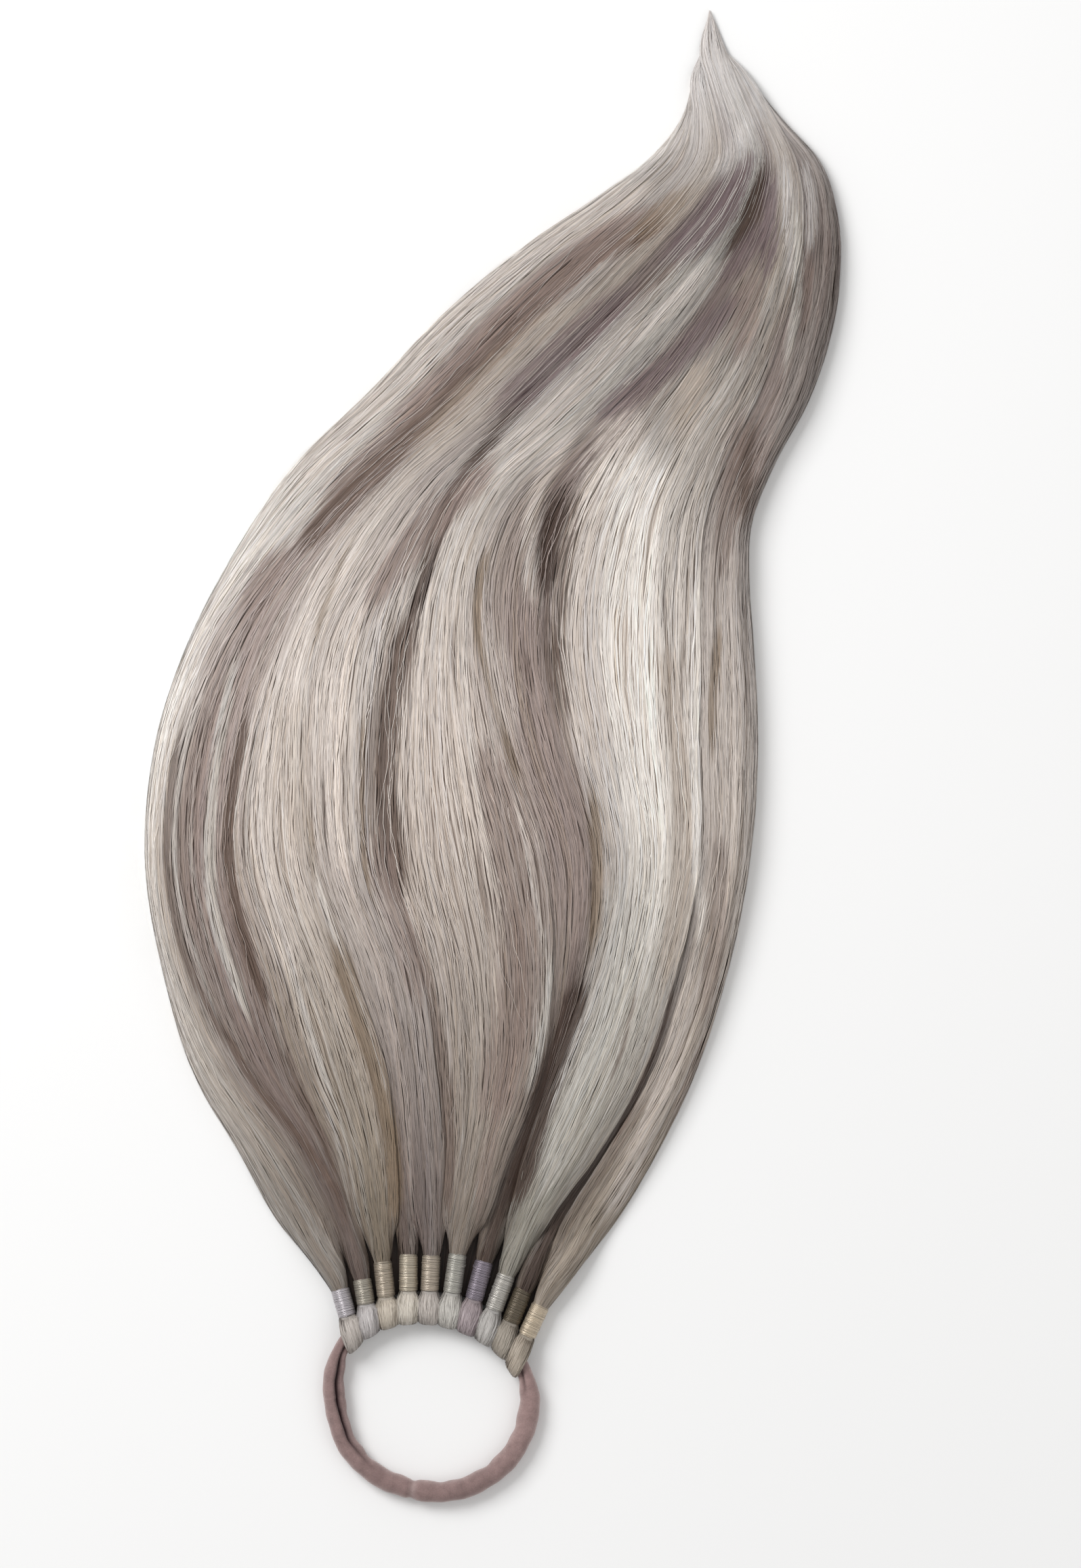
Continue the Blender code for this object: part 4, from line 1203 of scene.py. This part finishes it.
def add_loop(shell, index, looks, random):
    """A strand's loop: a filled body and fine hair over it."""
    seat = SEATS[index]
    tone = linear(LOOP_COLOURS[index])
    side = np.linspace(-1.0, 1.0, LOOP_BODY_COLUMNS)
    outside = loop_surface(seat, side, 0.55)
    inside = loop_surface(seat, side[::-1] * 0.9, -0.1)
    ring = np.concatenate((outside, inside), axis=1)
    ring[..., 2] = np.maximum(ring[..., 2], 0.2)
    flow = flow_grid(np.arange(ring.shape[1]) * 0.5, np.arange(LOOP_BODY_ROWS) * 0.6)
    # The body under the loop's hair is painted darker, as shade
    shell.add_grid(ring, np.broadcast_to(tone * 0.62, ring.shape), flow, round_columns=True)

    count, steps = looks.loop_fibres, LOOP_BUNDLE_STEPS
    side = np.clip(random.uniform(-1.03, 1.03, count), -1.0, 1.0)
    scale = random.uniform(0.8, 1.08, count)
    centre = smooth_paths(loop_paths(seat, side, scale), steps)
    share = np.linspace(0.0, 1.0, steps)[None, :]
    along = share * LOOP_BUNDLE_LENGTH
    drift = 0.35 * random_waves(random, along, (23.0, 11.0), count)
    centre = centre + seat.along * drift[..., None]
    centre[..., 2] = np.maximum(centre[..., 2], 0.25)
    tangent = unit(np.gradient(centre, axis=1))
    hub = seat.middle + seat.along * ((centre - seat.middle) @ seat.along)[..., None]
    lean = side[:, None, None] * seat.along * 0.9
    normal = unit(unit(centre - hub) + lean)
    aside = unit(np.cross(tangent, normal))
    roll = random.normal(0.0, 0.35, count)[:, None] + 0.4 * random_waves(random, along, (17.0, 9.0), count)
    width = random.uniform(0.14, 0.28, count)[:, None] * (0.6 + 0.4 * np.sin(pi * share))
    edge = rolled_edge(aside, normal, roll, width)

    # Painted light and shade: lighter on top, darker at the sides, by the binding and underneath
    shade = np.exp(random.normal(0.0, looks.fibre_contrast, count))[:, None]
    shade = shade * (0.84 + 0.2 * smooth_step((scale[:, None] - 0.8) / 0.25))
    rim = 1.0 - 0.35 * np.abs(side)[:, None] ** 4
    near_binding = 0.75 + 0.25 * smooth_step(np.minimum(share, 1.0 - share) / 0.12)
    round_under = 1.0 - 0.45 * smooth_step((share - 0.34) / 0.2)
    light = (shade * rim * near_binding * round_under)[..., None]
    colour = np.clip(tone * light * mix(SHADOW_TINT, 1.0, np.clip(light, 0.0, 1.0)), 0.0, LIGHTEST)
    across = np.broadcast_to(side[:, None, None] * 3.4 + np.array((-0.2, 0.2)), (count, steps, 2))
    shell.add_ribbons(centre, edge, colour, across, np.broadcast_to(along, (count, steps)))


# Bindings

def tube_rings(centre, side_one, side_two, radius, sides):
    """Rings of points round a line of centres (n, 3)."""
    turns = np.linspace(0.0, 2.0 * pi, sides, endpoint=False)[None, :, None]
    radius = np.broadcast_to(radius, (len(centre),))[:, None, None]
    return (centre[:, None] + side_one[:, None] * np.cos(turns) * radius
            + side_two[:, None] * np.sin(turns) * radius)


def add_thread(shell, seat, place, angle, radius, thickness, sides, colours):
    """A thread round a strand's neck: places along the neck, and angles and radii round it."""
    above = np.cross(seat.across, seat.axis)
    spoke = seat.across[None] * np.cos(angle)[:, None] + above[None] * np.sin(angle)[:, None]
    centre = seat.bottom + seat.axis * place[:, None] + spoke * radius[:, None]
    rings = tube_rings(centre, spoke, np.broadcast_to(seat.axis, spoke.shape), thickness, sides)
    colours = np.broadcast_to(np.clip(colours, 0.0, LIGHTEST), rings.shape)
    flow = flow_grid(np.arange(sides) * 0.3, angle * WINDING_RADIUS)
    shell.add_grid(rings, colours, flow, round_columns=True)


def add_winding(shell, index, looks, random):
    """Thread wound in close turns round a strand's neck, over a sleeve of the turns beneath."""
    seat = SEATS[index]
    tone = linear(THREAD_COLOURS[index])
    thread = looks.thread_diameter / MM
    length = seat.length

    above = np.cross(seat.across, seat.axis)
    sleeve = []
    for place in (SLEEVE_END, length - SLEEVE_END):
        centre = (seat.bottom + seat.axis * place)[None]
        for radius in (WINDING_BORE, WINDING_RADIUS - SLEEVE_INSET):
            sleeve.append(tube_rings(centre, seat.across[None], above[None], radius, SLEEVE_SIDES)[0])
    sleeve = np.stack((sleeve[0], sleeve[1], sleeve[3], sleeve[2]))
    flow = flow_grid(np.arange(SLEEVE_SIDES) * 0.6, np.arange(len(sleeve)) * 4.0)
    colours = np.broadcast_to(tone * SLEEVE_SHADE, sleeve.shape)
    shell.add_grid(sleeve, colours, flow, round_rows=True, round_columns=True)

    turns = int((length - thread) / (thread * THREAD_SPACING))
    share = np.linspace(0.0, 1.0, turns * THREAD_STEPS + 1)
    from_end = np.minimum(share, 1.0 - share)
    angle = share * turns * 2.0 * pi + random.uniform(0.0, 2.0 * pi)
    wobble = random_waves(random, share * turns, (3.1, 1.7, 7.3)) * thread * 0.28
    place = thread / 2.0 + share * (length - thread) + wobble * np.minimum(1.0, from_end * 12.0)
    tuck = 1.0 - 0.10 * (1.0 - smooth_step(from_end / 0.06))
    belly = 1.0 + 0.012 * random_waves(random, share * turns, (5.3, 2.9))
    radius = (WINDING_RADIUS - thread / 2.0) * tuck * belly
    tint = 1.0 + 0.18 * random_waves(random, share * turns, (1.7, 0.9, 4.1))
    add_thread(shell, seat, place, angle, radius, thread * 0.5, THREAD_SIDES, tone * tint[:, None, None])

    share = np.linspace(0.0, 1.0, CROSSING_STEPS)
    for _ in range(CROSSING_THREADS):
        middle = random.uniform(0.2, 0.8) * length
        angle = share * random.uniform(1.2, 2.4) + random.uniform(0.0, 2.0 * pi)
        slope = random.uniform(-1.0, 1.0) * 1.6
        place = np.clip(middle + np.linspace(-0.5, 0.5, CROSSING_STEPS) * slope, thread, length - thread)
        arch = np.sin(np.linspace(0.0, pi, CROSSING_STEPS)) ** 0.5
        radius = WINDING_RADIUS - thread * 0.35 + thread * 0.45 * arch
        add_thread(shell, seat, place, angle, radius, thread * 0.42, CROSSING_SIDES, tone * 1.12)


# Elastic

def crease_strength(back, ahead):
    """How deep the cover folds in at distances back from the first loop and ahead of the last."""
    reach, start, ease = CREASE_BACK
    strength = np.where(back < reach, 1.0 - smooth_step((back - start) / ease), 0.0)
    reach, start, ease = CREASE_AHEAD
    far_side = 0.9 * (1.0 - smooth_step((ahead - start) / ease))
    return np.maximum(strength, np.where(ahead < reach, far_side, 0.0))


def elastic_shell(looks):
    """The soft tube of the hair tie, with the crease that its cover folds into beside the loops."""
    distance = np.linspace(0.0, BAND_LENGTH, BAND_SECTIONS, endpoint=False)
    centre, along = band_place(distance)
    grip = band_grip(distance)
    radius = mix(BAND_RADIUS, BAND_GRIPPED_RADIUS, grip)
    height = mix(BAND_RADIUS, LOOP_AXIS_HEIGHT, grip)
    centre = centre + UP * height[:, None]
    across = np.cross(along, UP)
    turns = np.linspace(0.0, 2.0 * pi, BAND_SIDES, endpoint=False)

    strength = crease_strength((LOOPS_FROM - distance) % BAND_LENGTH, (distance - LOOPS_TO) % BAND_LENGTH)
    strength = (strength * (1.0 - grip * 0.4))[:, None]
    wander = 0.12 * np.sin(distance * 0.16) + 0.06 * np.sin(distance * 0.37 + 1.0)
    off = (turns[None, :] - CREASE_TURN - wander[:, None] + pi) % (2.0 * pi) - pi
    crease = np.exp(-(off / CREASE_WIDTH) ** 2) * strength
    shoulder = np.exp(-((np.abs(off) - SHOULDER_TURN) / SHOULDER_WIDTH) ** 2) * strength
    lumps = 0.0
    for lump in LUMPS:
        along_it = lump.height * np.sin(distance * lump.rate + lump.phase)[:, None]
        around_it = lump.steady + lump.around * np.cos(lump.turns * turns + lump.turn_phase)
        lumps = lumps + along_it * around_it[None]
    lumps = lumps * (1.0 - grip[:, None])
    seam_at = BAND_LENGTHS[np.argmin(np.linalg.norm(BAND_CURVE - BAND_SEAM, axis=1))]
    seam = np.exp(-((distance - seam_at) / SEWN_WIDTH) ** 2)[:, None]
    depth = looks.crease_depth / MM
    radii = radius[:, None] + lumps - crease * depth + shoulder * SHOULDER_HEIGHT - seam * SEWN_DEPTH
    spoke = across[:, None] * np.cos(turns)[None, :, None] + UP * np.sin(turns)[None, :, None]
    points = centre[:, None] + spoke * radii[..., None]
    points[..., 2] = np.maximum(points[..., 2], 0.05)

    # Colour: painted shade in the crease, painted light to the right and a painted sheen along the sides; the
    # sewn seam is lighter too
    light = 1.0 + 0.06 * waves(distance, (31.0, 17.0, 9.0), (0.2, 0.6, 0.9))[:, None]
    light = light + 0.22 * smooth_step((centre[:, :1] + 2.0) / 14.0)
    sheen_and_seam = np.maximum(0.5 * (np.abs(np.cos(turns)) ** 5 * (np.sin(turns) > -0.5))[None, :], seam * 0.3)
    cover = mix(linear(looks.pile_colour) * light[..., None], linear(looks.sheen_colour), sheen_and_seam[..., None])
    shade = np.clip(crease * 1.15 + 0.25 * np.exp(-(off / CREASE_SHADE_WIDTH) ** 2) * strength, 0.0, 1.0)
    colours = mix(cover, linear(looks.crease_shade_colour), shade[..., None])
    flow = flow_grid(turns * BAND_RADIUS, distance)
    shell = Shell()
    shell.add_grid(points, colours, flow, round_rows=True, round_columns=True)
    return shell


# Materials

Surface = namedtuple("Surface", "line_width line_length contrast roughness specular relief metallic")
HAIR_SURFACE = Surface(0.11, 16.0, 0.30, 0.46, 0.32, 0.5, 0.0)
LOOSE_HAIR_SURFACE = Surface(0.11, 16.0, 0.2, 0.42, 0.4, 0.3, 0.0)
THREAD_SURFACE = Surface(0.09, 6.0, 0.25, 0.3, 1.0, 0.4, 0.55)
LINES_GROUP = "fine lines"


def new_group(name, inputs, outputs):
    """A shader node group with named inputs (name, kind, default) and outputs (name, kind)."""
    group = bpy.data.node_groups.new(name, "ShaderNodeTree")
    for label, kind, default in inputs:
        socket = group.interface.new_socket(label, in_out="INPUT", socket_type=kind)
        socket.default_value = default
    for label, kind in outputs:
        group.interface.new_socket(label, in_out="OUTPUT", socket_type=kind)
    entry = group.nodes.new("NodeGroupInput")
    leave = group.nodes.new("NodeGroupOutput")
    return group, entry, leave


def math_node(tree, operation, first, second):
    """A Math node on two values, each a socket or a number; returns its output."""
    node = tree.nodes.new("ShaderNodeMath")
    node.operation = operation
    for socket, value in zip(node.inputs, (first, second)):
        if isinstance(value, bpy.types.NodeSocket):
            tree.links.new(value, socket)
        else:
            socket.default_value = value
    return node.outputs[0]


def add_node(tree, kind, **values):
    """A shader node with these input values; an underscore in a name stands for a space."""
    node = tree.nodes.new("ShaderNode" + kind)
    for name, value in values.items():
        node.inputs[name.replace("_", " ")].default_value = value
    return node


def scaled_colour(tree, colour, factor):
    """A colour socket times a factor socket; returns the result's output."""
    scale = add_node(tree, "VectorMath")
    scale.operation = "SCALE"
    tree.links.new(colour, scale.inputs[0])
    tree.links.new(factor, scale.inputs["Scale"])
    return scale.outputs[0]


def new_material(name, **values):
    """A material with these values on its shader; returns it, its node tree and its shader."""
    material = bpy.data.materials.new(name)
    material.use_nodes = True
    shader = material.node_tree.nodes["Principled BSDF"]
    for label, value in values.items():
        shader.inputs[label.replace("_", " ")].default_value = value
    return material, material.node_tree, shader


def mesh_tone(tree):
    """The colour on the mesh, as a node's output."""
    tone = add_node(tree, "VertexColor")
    tone.layer_name = "tone"
    return tone.outputs["Color"]


def raise_surface(tree, shader, height, strength, distance):
    """Fine relief from a height socket, far smaller than any shape."""
    raised = add_node(tree, "Bump", Strength=strength, Distance=distance)
    tree.links.new(height, raised.inputs["Height"])
    tree.links.new(raised.outputs[0], shader.inputs["Normal"])


def fibre_group():
    """Fine lines along the hair or thread, from the mesh's flow coordinates in millimetres."""
    made = bpy.data.node_groups.get(LINES_GROUP)
    if made is not None:
        return made
    group, entry, leave = new_group(
        LINES_GROUP,
        (("Line Width", "NodeSocketFloat", 0.12), ("Line Length", "NodeSocketFloat", 14.0),
         ("Contrast", "NodeSocketFloat", 0.2), ("Colour", "NodeSocketColor", (1.0, 1.0, 1.0, 1.0)),
         ("Roughness", "NodeSocketFloat", 0.5)),
        (("Colour", "NodeSocketColor"), ("Roughness", "NodeSocketFloat"), ("Height", "NodeSocketFloat")))
    links = group.links
    flow = add_node(group, "UVMap")
    flow.uv_map = "flow"
    parts = add_node(group, "SeparateXYZ")
    links.new(flow.outputs[0], parts.inputs[0])
    join = add_node(group, "CombineXYZ")
    links.new(math_node(group, "DIVIDE", parts.outputs[0], entry.outputs["Line Width"]), join.inputs[0])
    links.new(math_node(group, "DIVIDE", parts.outputs[1], entry.outputs["Line Length"]), join.inputs[1])
    lines = add_node(group, "TexNoise", Scale=1.0, Detail=3.0, Roughness=0.6)
    links.new(join.outputs[0], lines.inputs["Vector"])
    centred = math_node(group, "SUBTRACT", lines.outputs["Fac"], 0.5)
    gain = math_node(group, "MULTIPLY", centred, entry.outputs["Contrast"])
    factor = math_node(group, "ADD", math_node(group, "MULTIPLY", gain, 2.0), 1.0)
    links.new(scaled_colour(group, entry.outputs["Colour"], factor), leave.inputs["Colour"])
    smoother = math_node(group, "MULTIPLY", centred, 0.25)
    rough = math_node(group, "SUBTRACT", entry.outputs["Roughness"], smoother)
    links.new(rough, leave.inputs["Roughness"])
    links.new(lines.outputs["Fac"], leave.inputs["Height"])
    return group


def fibre_material(name, surface):
    """Hair or thread: the colour on the mesh, broken up by fine lines."""
    material, tree, shader = new_material(
        name, Specular_IOR_Level=surface.specular, Metallic=surface.metallic)
    fine = add_node(tree, "Group")
    fine.node_tree = fibre_group()
    for label, value in (("Line Width", surface.line_width), ("Line Length", surface.line_length),
                         ("Contrast", surface.contrast), ("Roughness", surface.roughness)):
        fine.inputs[label].default_value = value
    tree.links.new(mesh_tone(tree), fine.inputs["Colour"])
    tree.links.new(fine.outputs["Colour"], shader.inputs["Base Color"])
    tree.links.new(fine.outputs["Roughness"], shader.inputs["Roughness"])
    raise_surface(tree, shader, fine.outputs["Height"], surface.relief, 0.00012)
    return material


def slot_materials(slots, surface):
    """One material for each slot name."""
    return {slot: fibre_material(slot.replace("_", " "), surface) for slot in sorted(set(slots))}


def velvet_material(name):
    """Short soft pile: the colour on the mesh, mottled, with a fine nap."""
    material, tree, shader = new_material(
        name, Roughness=0.95, Specular_IOR_Level=0.1, Sheen_Weight=0.8, Sheen_Roughness=0.35,
        Sheen_Tint=(0.86, 0.78, 0.77, 1.0))
    place = add_node(tree, "TexCoord")
    nap = add_node(tree, "TexNoise", Scale=2600.0, Detail=3.0)
    mottle = add_node(tree, "TexNoise", Scale=420.0, Detail=2.0)
    for noise in (nap, mottle):
        tree.links.new(place.outputs["Object"], noise.inputs["Vector"])
    mixed = math_node(tree, "ADD", nap.outputs["Fac"], mottle.outputs["Fac"])
    factor = math_node(tree, "ADD", math_node(tree, "MULTIPLY", mixed, 0.5), 0.5)
    tree.links.new(scaled_colour(tree, mesh_tone(tree), factor), shader.inputs["Base Color"])
    raise_surface(tree, shader, nap.outputs["Fac"], 0.6, 0.0003)
    return material


# Settings

class ElasticLooks(bpy.types.PropertyGroup):
    """Colours and sizes of the velvet hair tie."""
    pile_colour: FloatVectorProperty(
        name="Pile Colour", description="Colour of the velvet cover", subtype="COLOR_GAMMA",
        default=(0.535, 0.45, 0.44), min=0.0, max=1.0)
    sheen_colour: FloatVectorProperty(
        name="Edge Colour", description="Colour of the pile where it catches light along the sides",
        subtype="COLOR_GAMMA", default=(0.76, 0.69, 0.68), min=0.0, max=1.0)
    crease_shade_colour: FloatVectorProperty(
        name="Crease Colour", description="Colour deep in the folds of the cover", subtype="COLOR_GAMMA",
        default=(0.19, 0.13, 0.14), min=0.0, max=1.0)
    crease_depth: FloatProperty(
        name="Crease Depth", description="How deep the cover folds in beside the loops", unit="LENGTH",
        default=0.0017, min=0.0, max=0.003)


class HairLooks(bpy.types.PropertyGroup):
    """Sizes and contrast of the hair."""
    fibre_width: FloatProperty(
        name="Bundle Width", description="Width of the finest bundles of hair", unit="LENGTH",
        default=0.0003, min=0.0001, max=0.002)
    fibres_per_millimetre: FloatProperty(
        name="Bundles per Millimetre", description="Bundles made for each millimetre of a strand's width",
        default=42.0, min=1.0, max=100.0)
    fibre_steps: IntProperty(
        name="Steps", description="Points along each bundle", default=36, min=8, max=200)
    fibre_contrast: FloatProperty(
        name="Contrast", description="How much neighbouring bundles differ in lightness",
        default=0.06, min=0.0, max=1.0)
    clump_width: FloatProperty(
        name="Clump Width", description="Width of the clumps that a strand parts into", unit="LENGTH",
        default=0.0032, min=0.001, max=0.02)
    clump_relief: FloatProperty(
        name="Clump Relief", description="How far a clump's middle stands above its edges", unit="LENGTH",
        default=0.0003, min=0.0, max=0.004)
    loop_fibres: IntProperty(
        name="Loop Bundles", description="Bundles of hair over each loop", default=310, min=10, max=1000)
    loose_hairs: IntProperty(
        name="Loose Hairs", description="Single hairs that have come away from each strand",
        default=34, min=0, max=200)
    hair_ends: IntProperty(
        name="Hair Ends", description="Short ends of hair that lie over each strand",
        default=70, min=0, max=500)


class BindingLooks(bpy.types.PropertyGroup):
    """Sizes of the thread bound round the necks."""
    thread_diameter: FloatProperty(
        name="Thread Diameter", description="Thickness of the wound thread", unit="LENGTH",
        default=0.00036, min=0.0002, max=0.002)


class StageLooks(bpy.types.PropertyGroup):
    """The surface that the hairpiece lies on, and its light."""
    floor_colour: FloatVectorProperty(
        name="Surface Colour", description="Colour of the surface under the hairpiece", subtype="COLOR",
        default=(0.90, 0.90, 0.90), min=0.0, max=1.0)
    key_power: FloatProperty(
        name="Key Light", description="Power of the soft light from the upper left", unit="POWER",
        default=23.0, min=0.0, max=500.0)
    fill_power: FloatProperty(
        name="Fill Light", description="Power of the broad light from the right", unit="POWER",
        default=5.0, min=0.0, max=500.0)
    camera_distance: FloatProperty(
        name="Camera Distance", description="Height of the camera over the hairpiece", unit="LENGTH",
        default=3.0, min=0.5, max=20.0)


# Operators

class HAIRPIECE_OT_elastic(bpy.types.Operator):
    """Make the velvet-covered elastic hair tie"""
    bl_idname = "hairpiece.elastic"
    bl_label = "Elastic"

    def execute(self, context):
        shell = elastic_shell(context.scene.hairpiece_elastic)
        shell.build("hair_tie", velvet_material("mauve velvet"), "elastic_cover", "elastic_band")
        return {"FINISHED"}


class HAIRPIECE_OT_strands(bpy.types.Operator):
    """Make the ten strands of hair with their loops"""
    bl_idname = "hairpiece.strands"
    bl_label = "Strands"

    def execute(self, context):
        looks = context.scene.hairpiece_hair
        slots = ("hair_pale", "hair_mauve", "hair_cream", "hair_beige", "hair_beige",
                 "hair_cream", "hair_mauve", "hair_pale", "hair_dark", "hair_beige")
        materials = slot_materials(slots, HAIR_SURFACE)
        for index in range(STRAND_COUNT):
            random = np.random.default_rng(STRAND_SEED + index)
            shell = Shell()
            add_core(shell, index)
            add_loop(shell, index, looks, random)
            add_tail_fibres(shell, index, looks, random)
            if index + 1 < STRAND_COUNT:
                add_low_hair(shell, index, random)
            number = f"{index + 1:02d}"
            shell.build(f"hair_{number}", materials[slots[index]], slots[index], f"strand_{number}")
        return {"FINISHED"}


class HAIRPIECE_OT_loose_hairs(bpy.types.Operator):
    """Make the single hairs that have come away from the strands"""
    bl_idname = "hairpiece.loose_hairs"
    bl_label = "Loose Hairs"

    def execute(self, context):
        looks = context.scene.hairpiece_hair
        random = np.random.default_rng(LOOSE_SEED)
        shell = Shell()
        for index in range(STRAND_COUNT):
            add_loose_hairs(shell, index, looks.loose_hairs, LOOSE_REACH, LOOSE_STEPS, random)
            add_loose_hairs(shell, index, looks.hair_ends, END_REACH, END_STEPS, random)
        shell.build("loose_hairs", fibre_material("single hair", LOOSE_HAIR_SURFACE), "hair_pale")
        return {"FINISHED"}


class HAIRPIECE_OT_bindings(bpy.types.Operator):
    """Make the thread wound round each strand's neck"""
    bl_idname = "hairpiece.bindings"
    bl_label = "Bindings"

    def execute(self, context):
        looks = context.scene.hairpiece_bindings
        slots = ("binding_lilac", "binding_beige", "binding_beige", "binding_champagne", "binding_beige",
                 "binding_silver", "binding_lilac", "binding_silver", "binding_dark", "binding_champagne")
        materials = slot_materials(slots, THREAD_SURFACE)
        for index in range(STRAND_COUNT):
            random = np.random.default_rng(BINDING_SEED + index)
            shell = Shell()
            add_winding(shell, index, looks, random)
            number = f"{index + 1:02d}"
            shell.build(f"winding_{number}", materials[slots[index]], slots[index], f"binding_{number}")
        return {"FINISHED"}


class HAIRPIECE_OT_stage(bpy.types.Operator):
    """Make the pale surface, the soft lights and the camera above"""
    bl_idname = "hairpiece.stage"
    bl_label = "Surface, Light and Camera"

    def execute(self, context):
        looks = context.scene.hairpiece_stage
        scene = context.scene
        scene.view_settings.view_transform = "Standard"
        mesh = bpy.data.meshes.new("floor")
        corners = [(x * FLOOR_REACH, y * FLOOR_REACH, 0.0) for x, y in ((-1, -1), (1, -1), (1, 1), (-1, 1))]
        mesh.from_pydata(corners, [], [(0, 1, 2, 3)])
        surface, _, _ = new_material(
            "pale surface", Base_Color=(*looks.floor_colour, 1.0), Roughness=0.9, Specular_IOR_Level=0.1)
        mesh.materials.append(surface)
        floor = bpy.data.objects.new("floor", mesh)
        scene.collection.objects.link(floor)

        for name, power, size, place in (
                ("key light", looks.key_power, KEY_SIZE, KEY_PLACE),
                ("fill light", looks.fill_power, FILL_SIZE, FILL_PLACE)):
            data = bpy.data.lights.new(name, "AREA")
            data.energy = power
            data.size = size
            light = bpy.data.objects.new(name, data)
            light.location = place
            light.rotation_euler = (-Vector(place)).to_track_quat("-Z", "Y").to_euler()
            scene.collection.objects.link(light)

        world = bpy.data.worlds.new("soft room")
        world.use_nodes = True
        background = world.node_tree.nodes["Background"]
        background.inputs["Color"].default_value = ROOM_COLOUR
        background.inputs["Strength"].default_value = ROOM_STRENGTH
        scene.world = world

        data = bpy.data.cameras.new("camera")
        middle = from_view((VIEW_SIZE[0] / 2.0, VIEW_SIZE[1] / 2.0)) * MM
        data.sensor_width = CAMERA_SENSOR
        data.lens = CAMERA_SENSOR * looks.camera_distance / (VIEW_SIZE[1] * VIEW_PIXEL * MM)
        camera = bpy.data.objects.new("camera", data)
        camera.location = (middle[0], middle[1], CAMERA_AIM_HEIGHT + looks.camera_distance)
        scene.collection.objects.link(camera)
        scene.camera = camera
        return {"FINISHED"}


class HAIRPIECE_PT_panel(bpy.types.Panel):
    """Lists the pieces of the hairpiece"""
    bl_idname = "HAIRPIECE_PT_panel"
    bl_label = "Hairpiece"
    bl_space_type = "VIEW_3D"
    bl_region_type = "UI"
    bl_category = "Hairpiece"

    def draw(self, context):
        scene = context.scene
        for operator, looks in (
                ("hairpiece.elastic", scene.hairpiece_elastic),
                ("hairpiece.strands", scene.hairpiece_hair),
                ("hairpiece.loose_hairs", scene.hairpiece_hair),
                ("hairpiece.bindings", scene.hairpiece_bindings),
                ("hairpiece.stage", scene.hairpiece_stage)):
            box = self.layout.box()
            box.operator(operator)
            for name in looks.__annotations__:
                box.prop(looks, name)


CLASSES = (
    ElasticLooks,
    HairLooks,
    BindingLooks,
    StageLooks,
    HAIRPIECE_OT_elastic,
    HAIRPIECE_OT_strands,
    HAIRPIECE_OT_loose_hairs,
    HAIRPIECE_OT_bindings,
    HAIRPIECE_OT_stage,
    HAIRPIECE_PT_panel,
)


def register():
    for item in CLASSES:
        bpy.utils.register_class(item)
    bpy.types.Scene.hairpiece_elastic = PointerProperty(type=ElasticLooks)
    bpy.types.Scene.hairpiece_hair = PointerProperty(type=HairLooks)
    bpy.types.Scene.hairpiece_bindings = PointerProperty(type=BindingLooks)
    bpy.types.Scene.hairpiece_stage = PointerProperty(type=StageLooks)


def unregister():
    del bpy.types.Scene.hairpiece_stage
    del bpy.types.Scene.hairpiece_bindings
    del bpy.types.Scene.hairpiece_hair
    del bpy.types.Scene.hairpiece_elastic
    for item in reversed(CLASSES):
        bpy.utils.unregister_class(item)


def main():
    register()
    bpy.ops.hairpiece.stage()
    bpy.ops.hairpiece.elastic()
    bpy.ops.hairpiece.strands()
    bpy.ops.hairpiece.loose_hairs()
    bpy.ops.hairpiece.bindings()


if __name__ == "__main__":
    main()
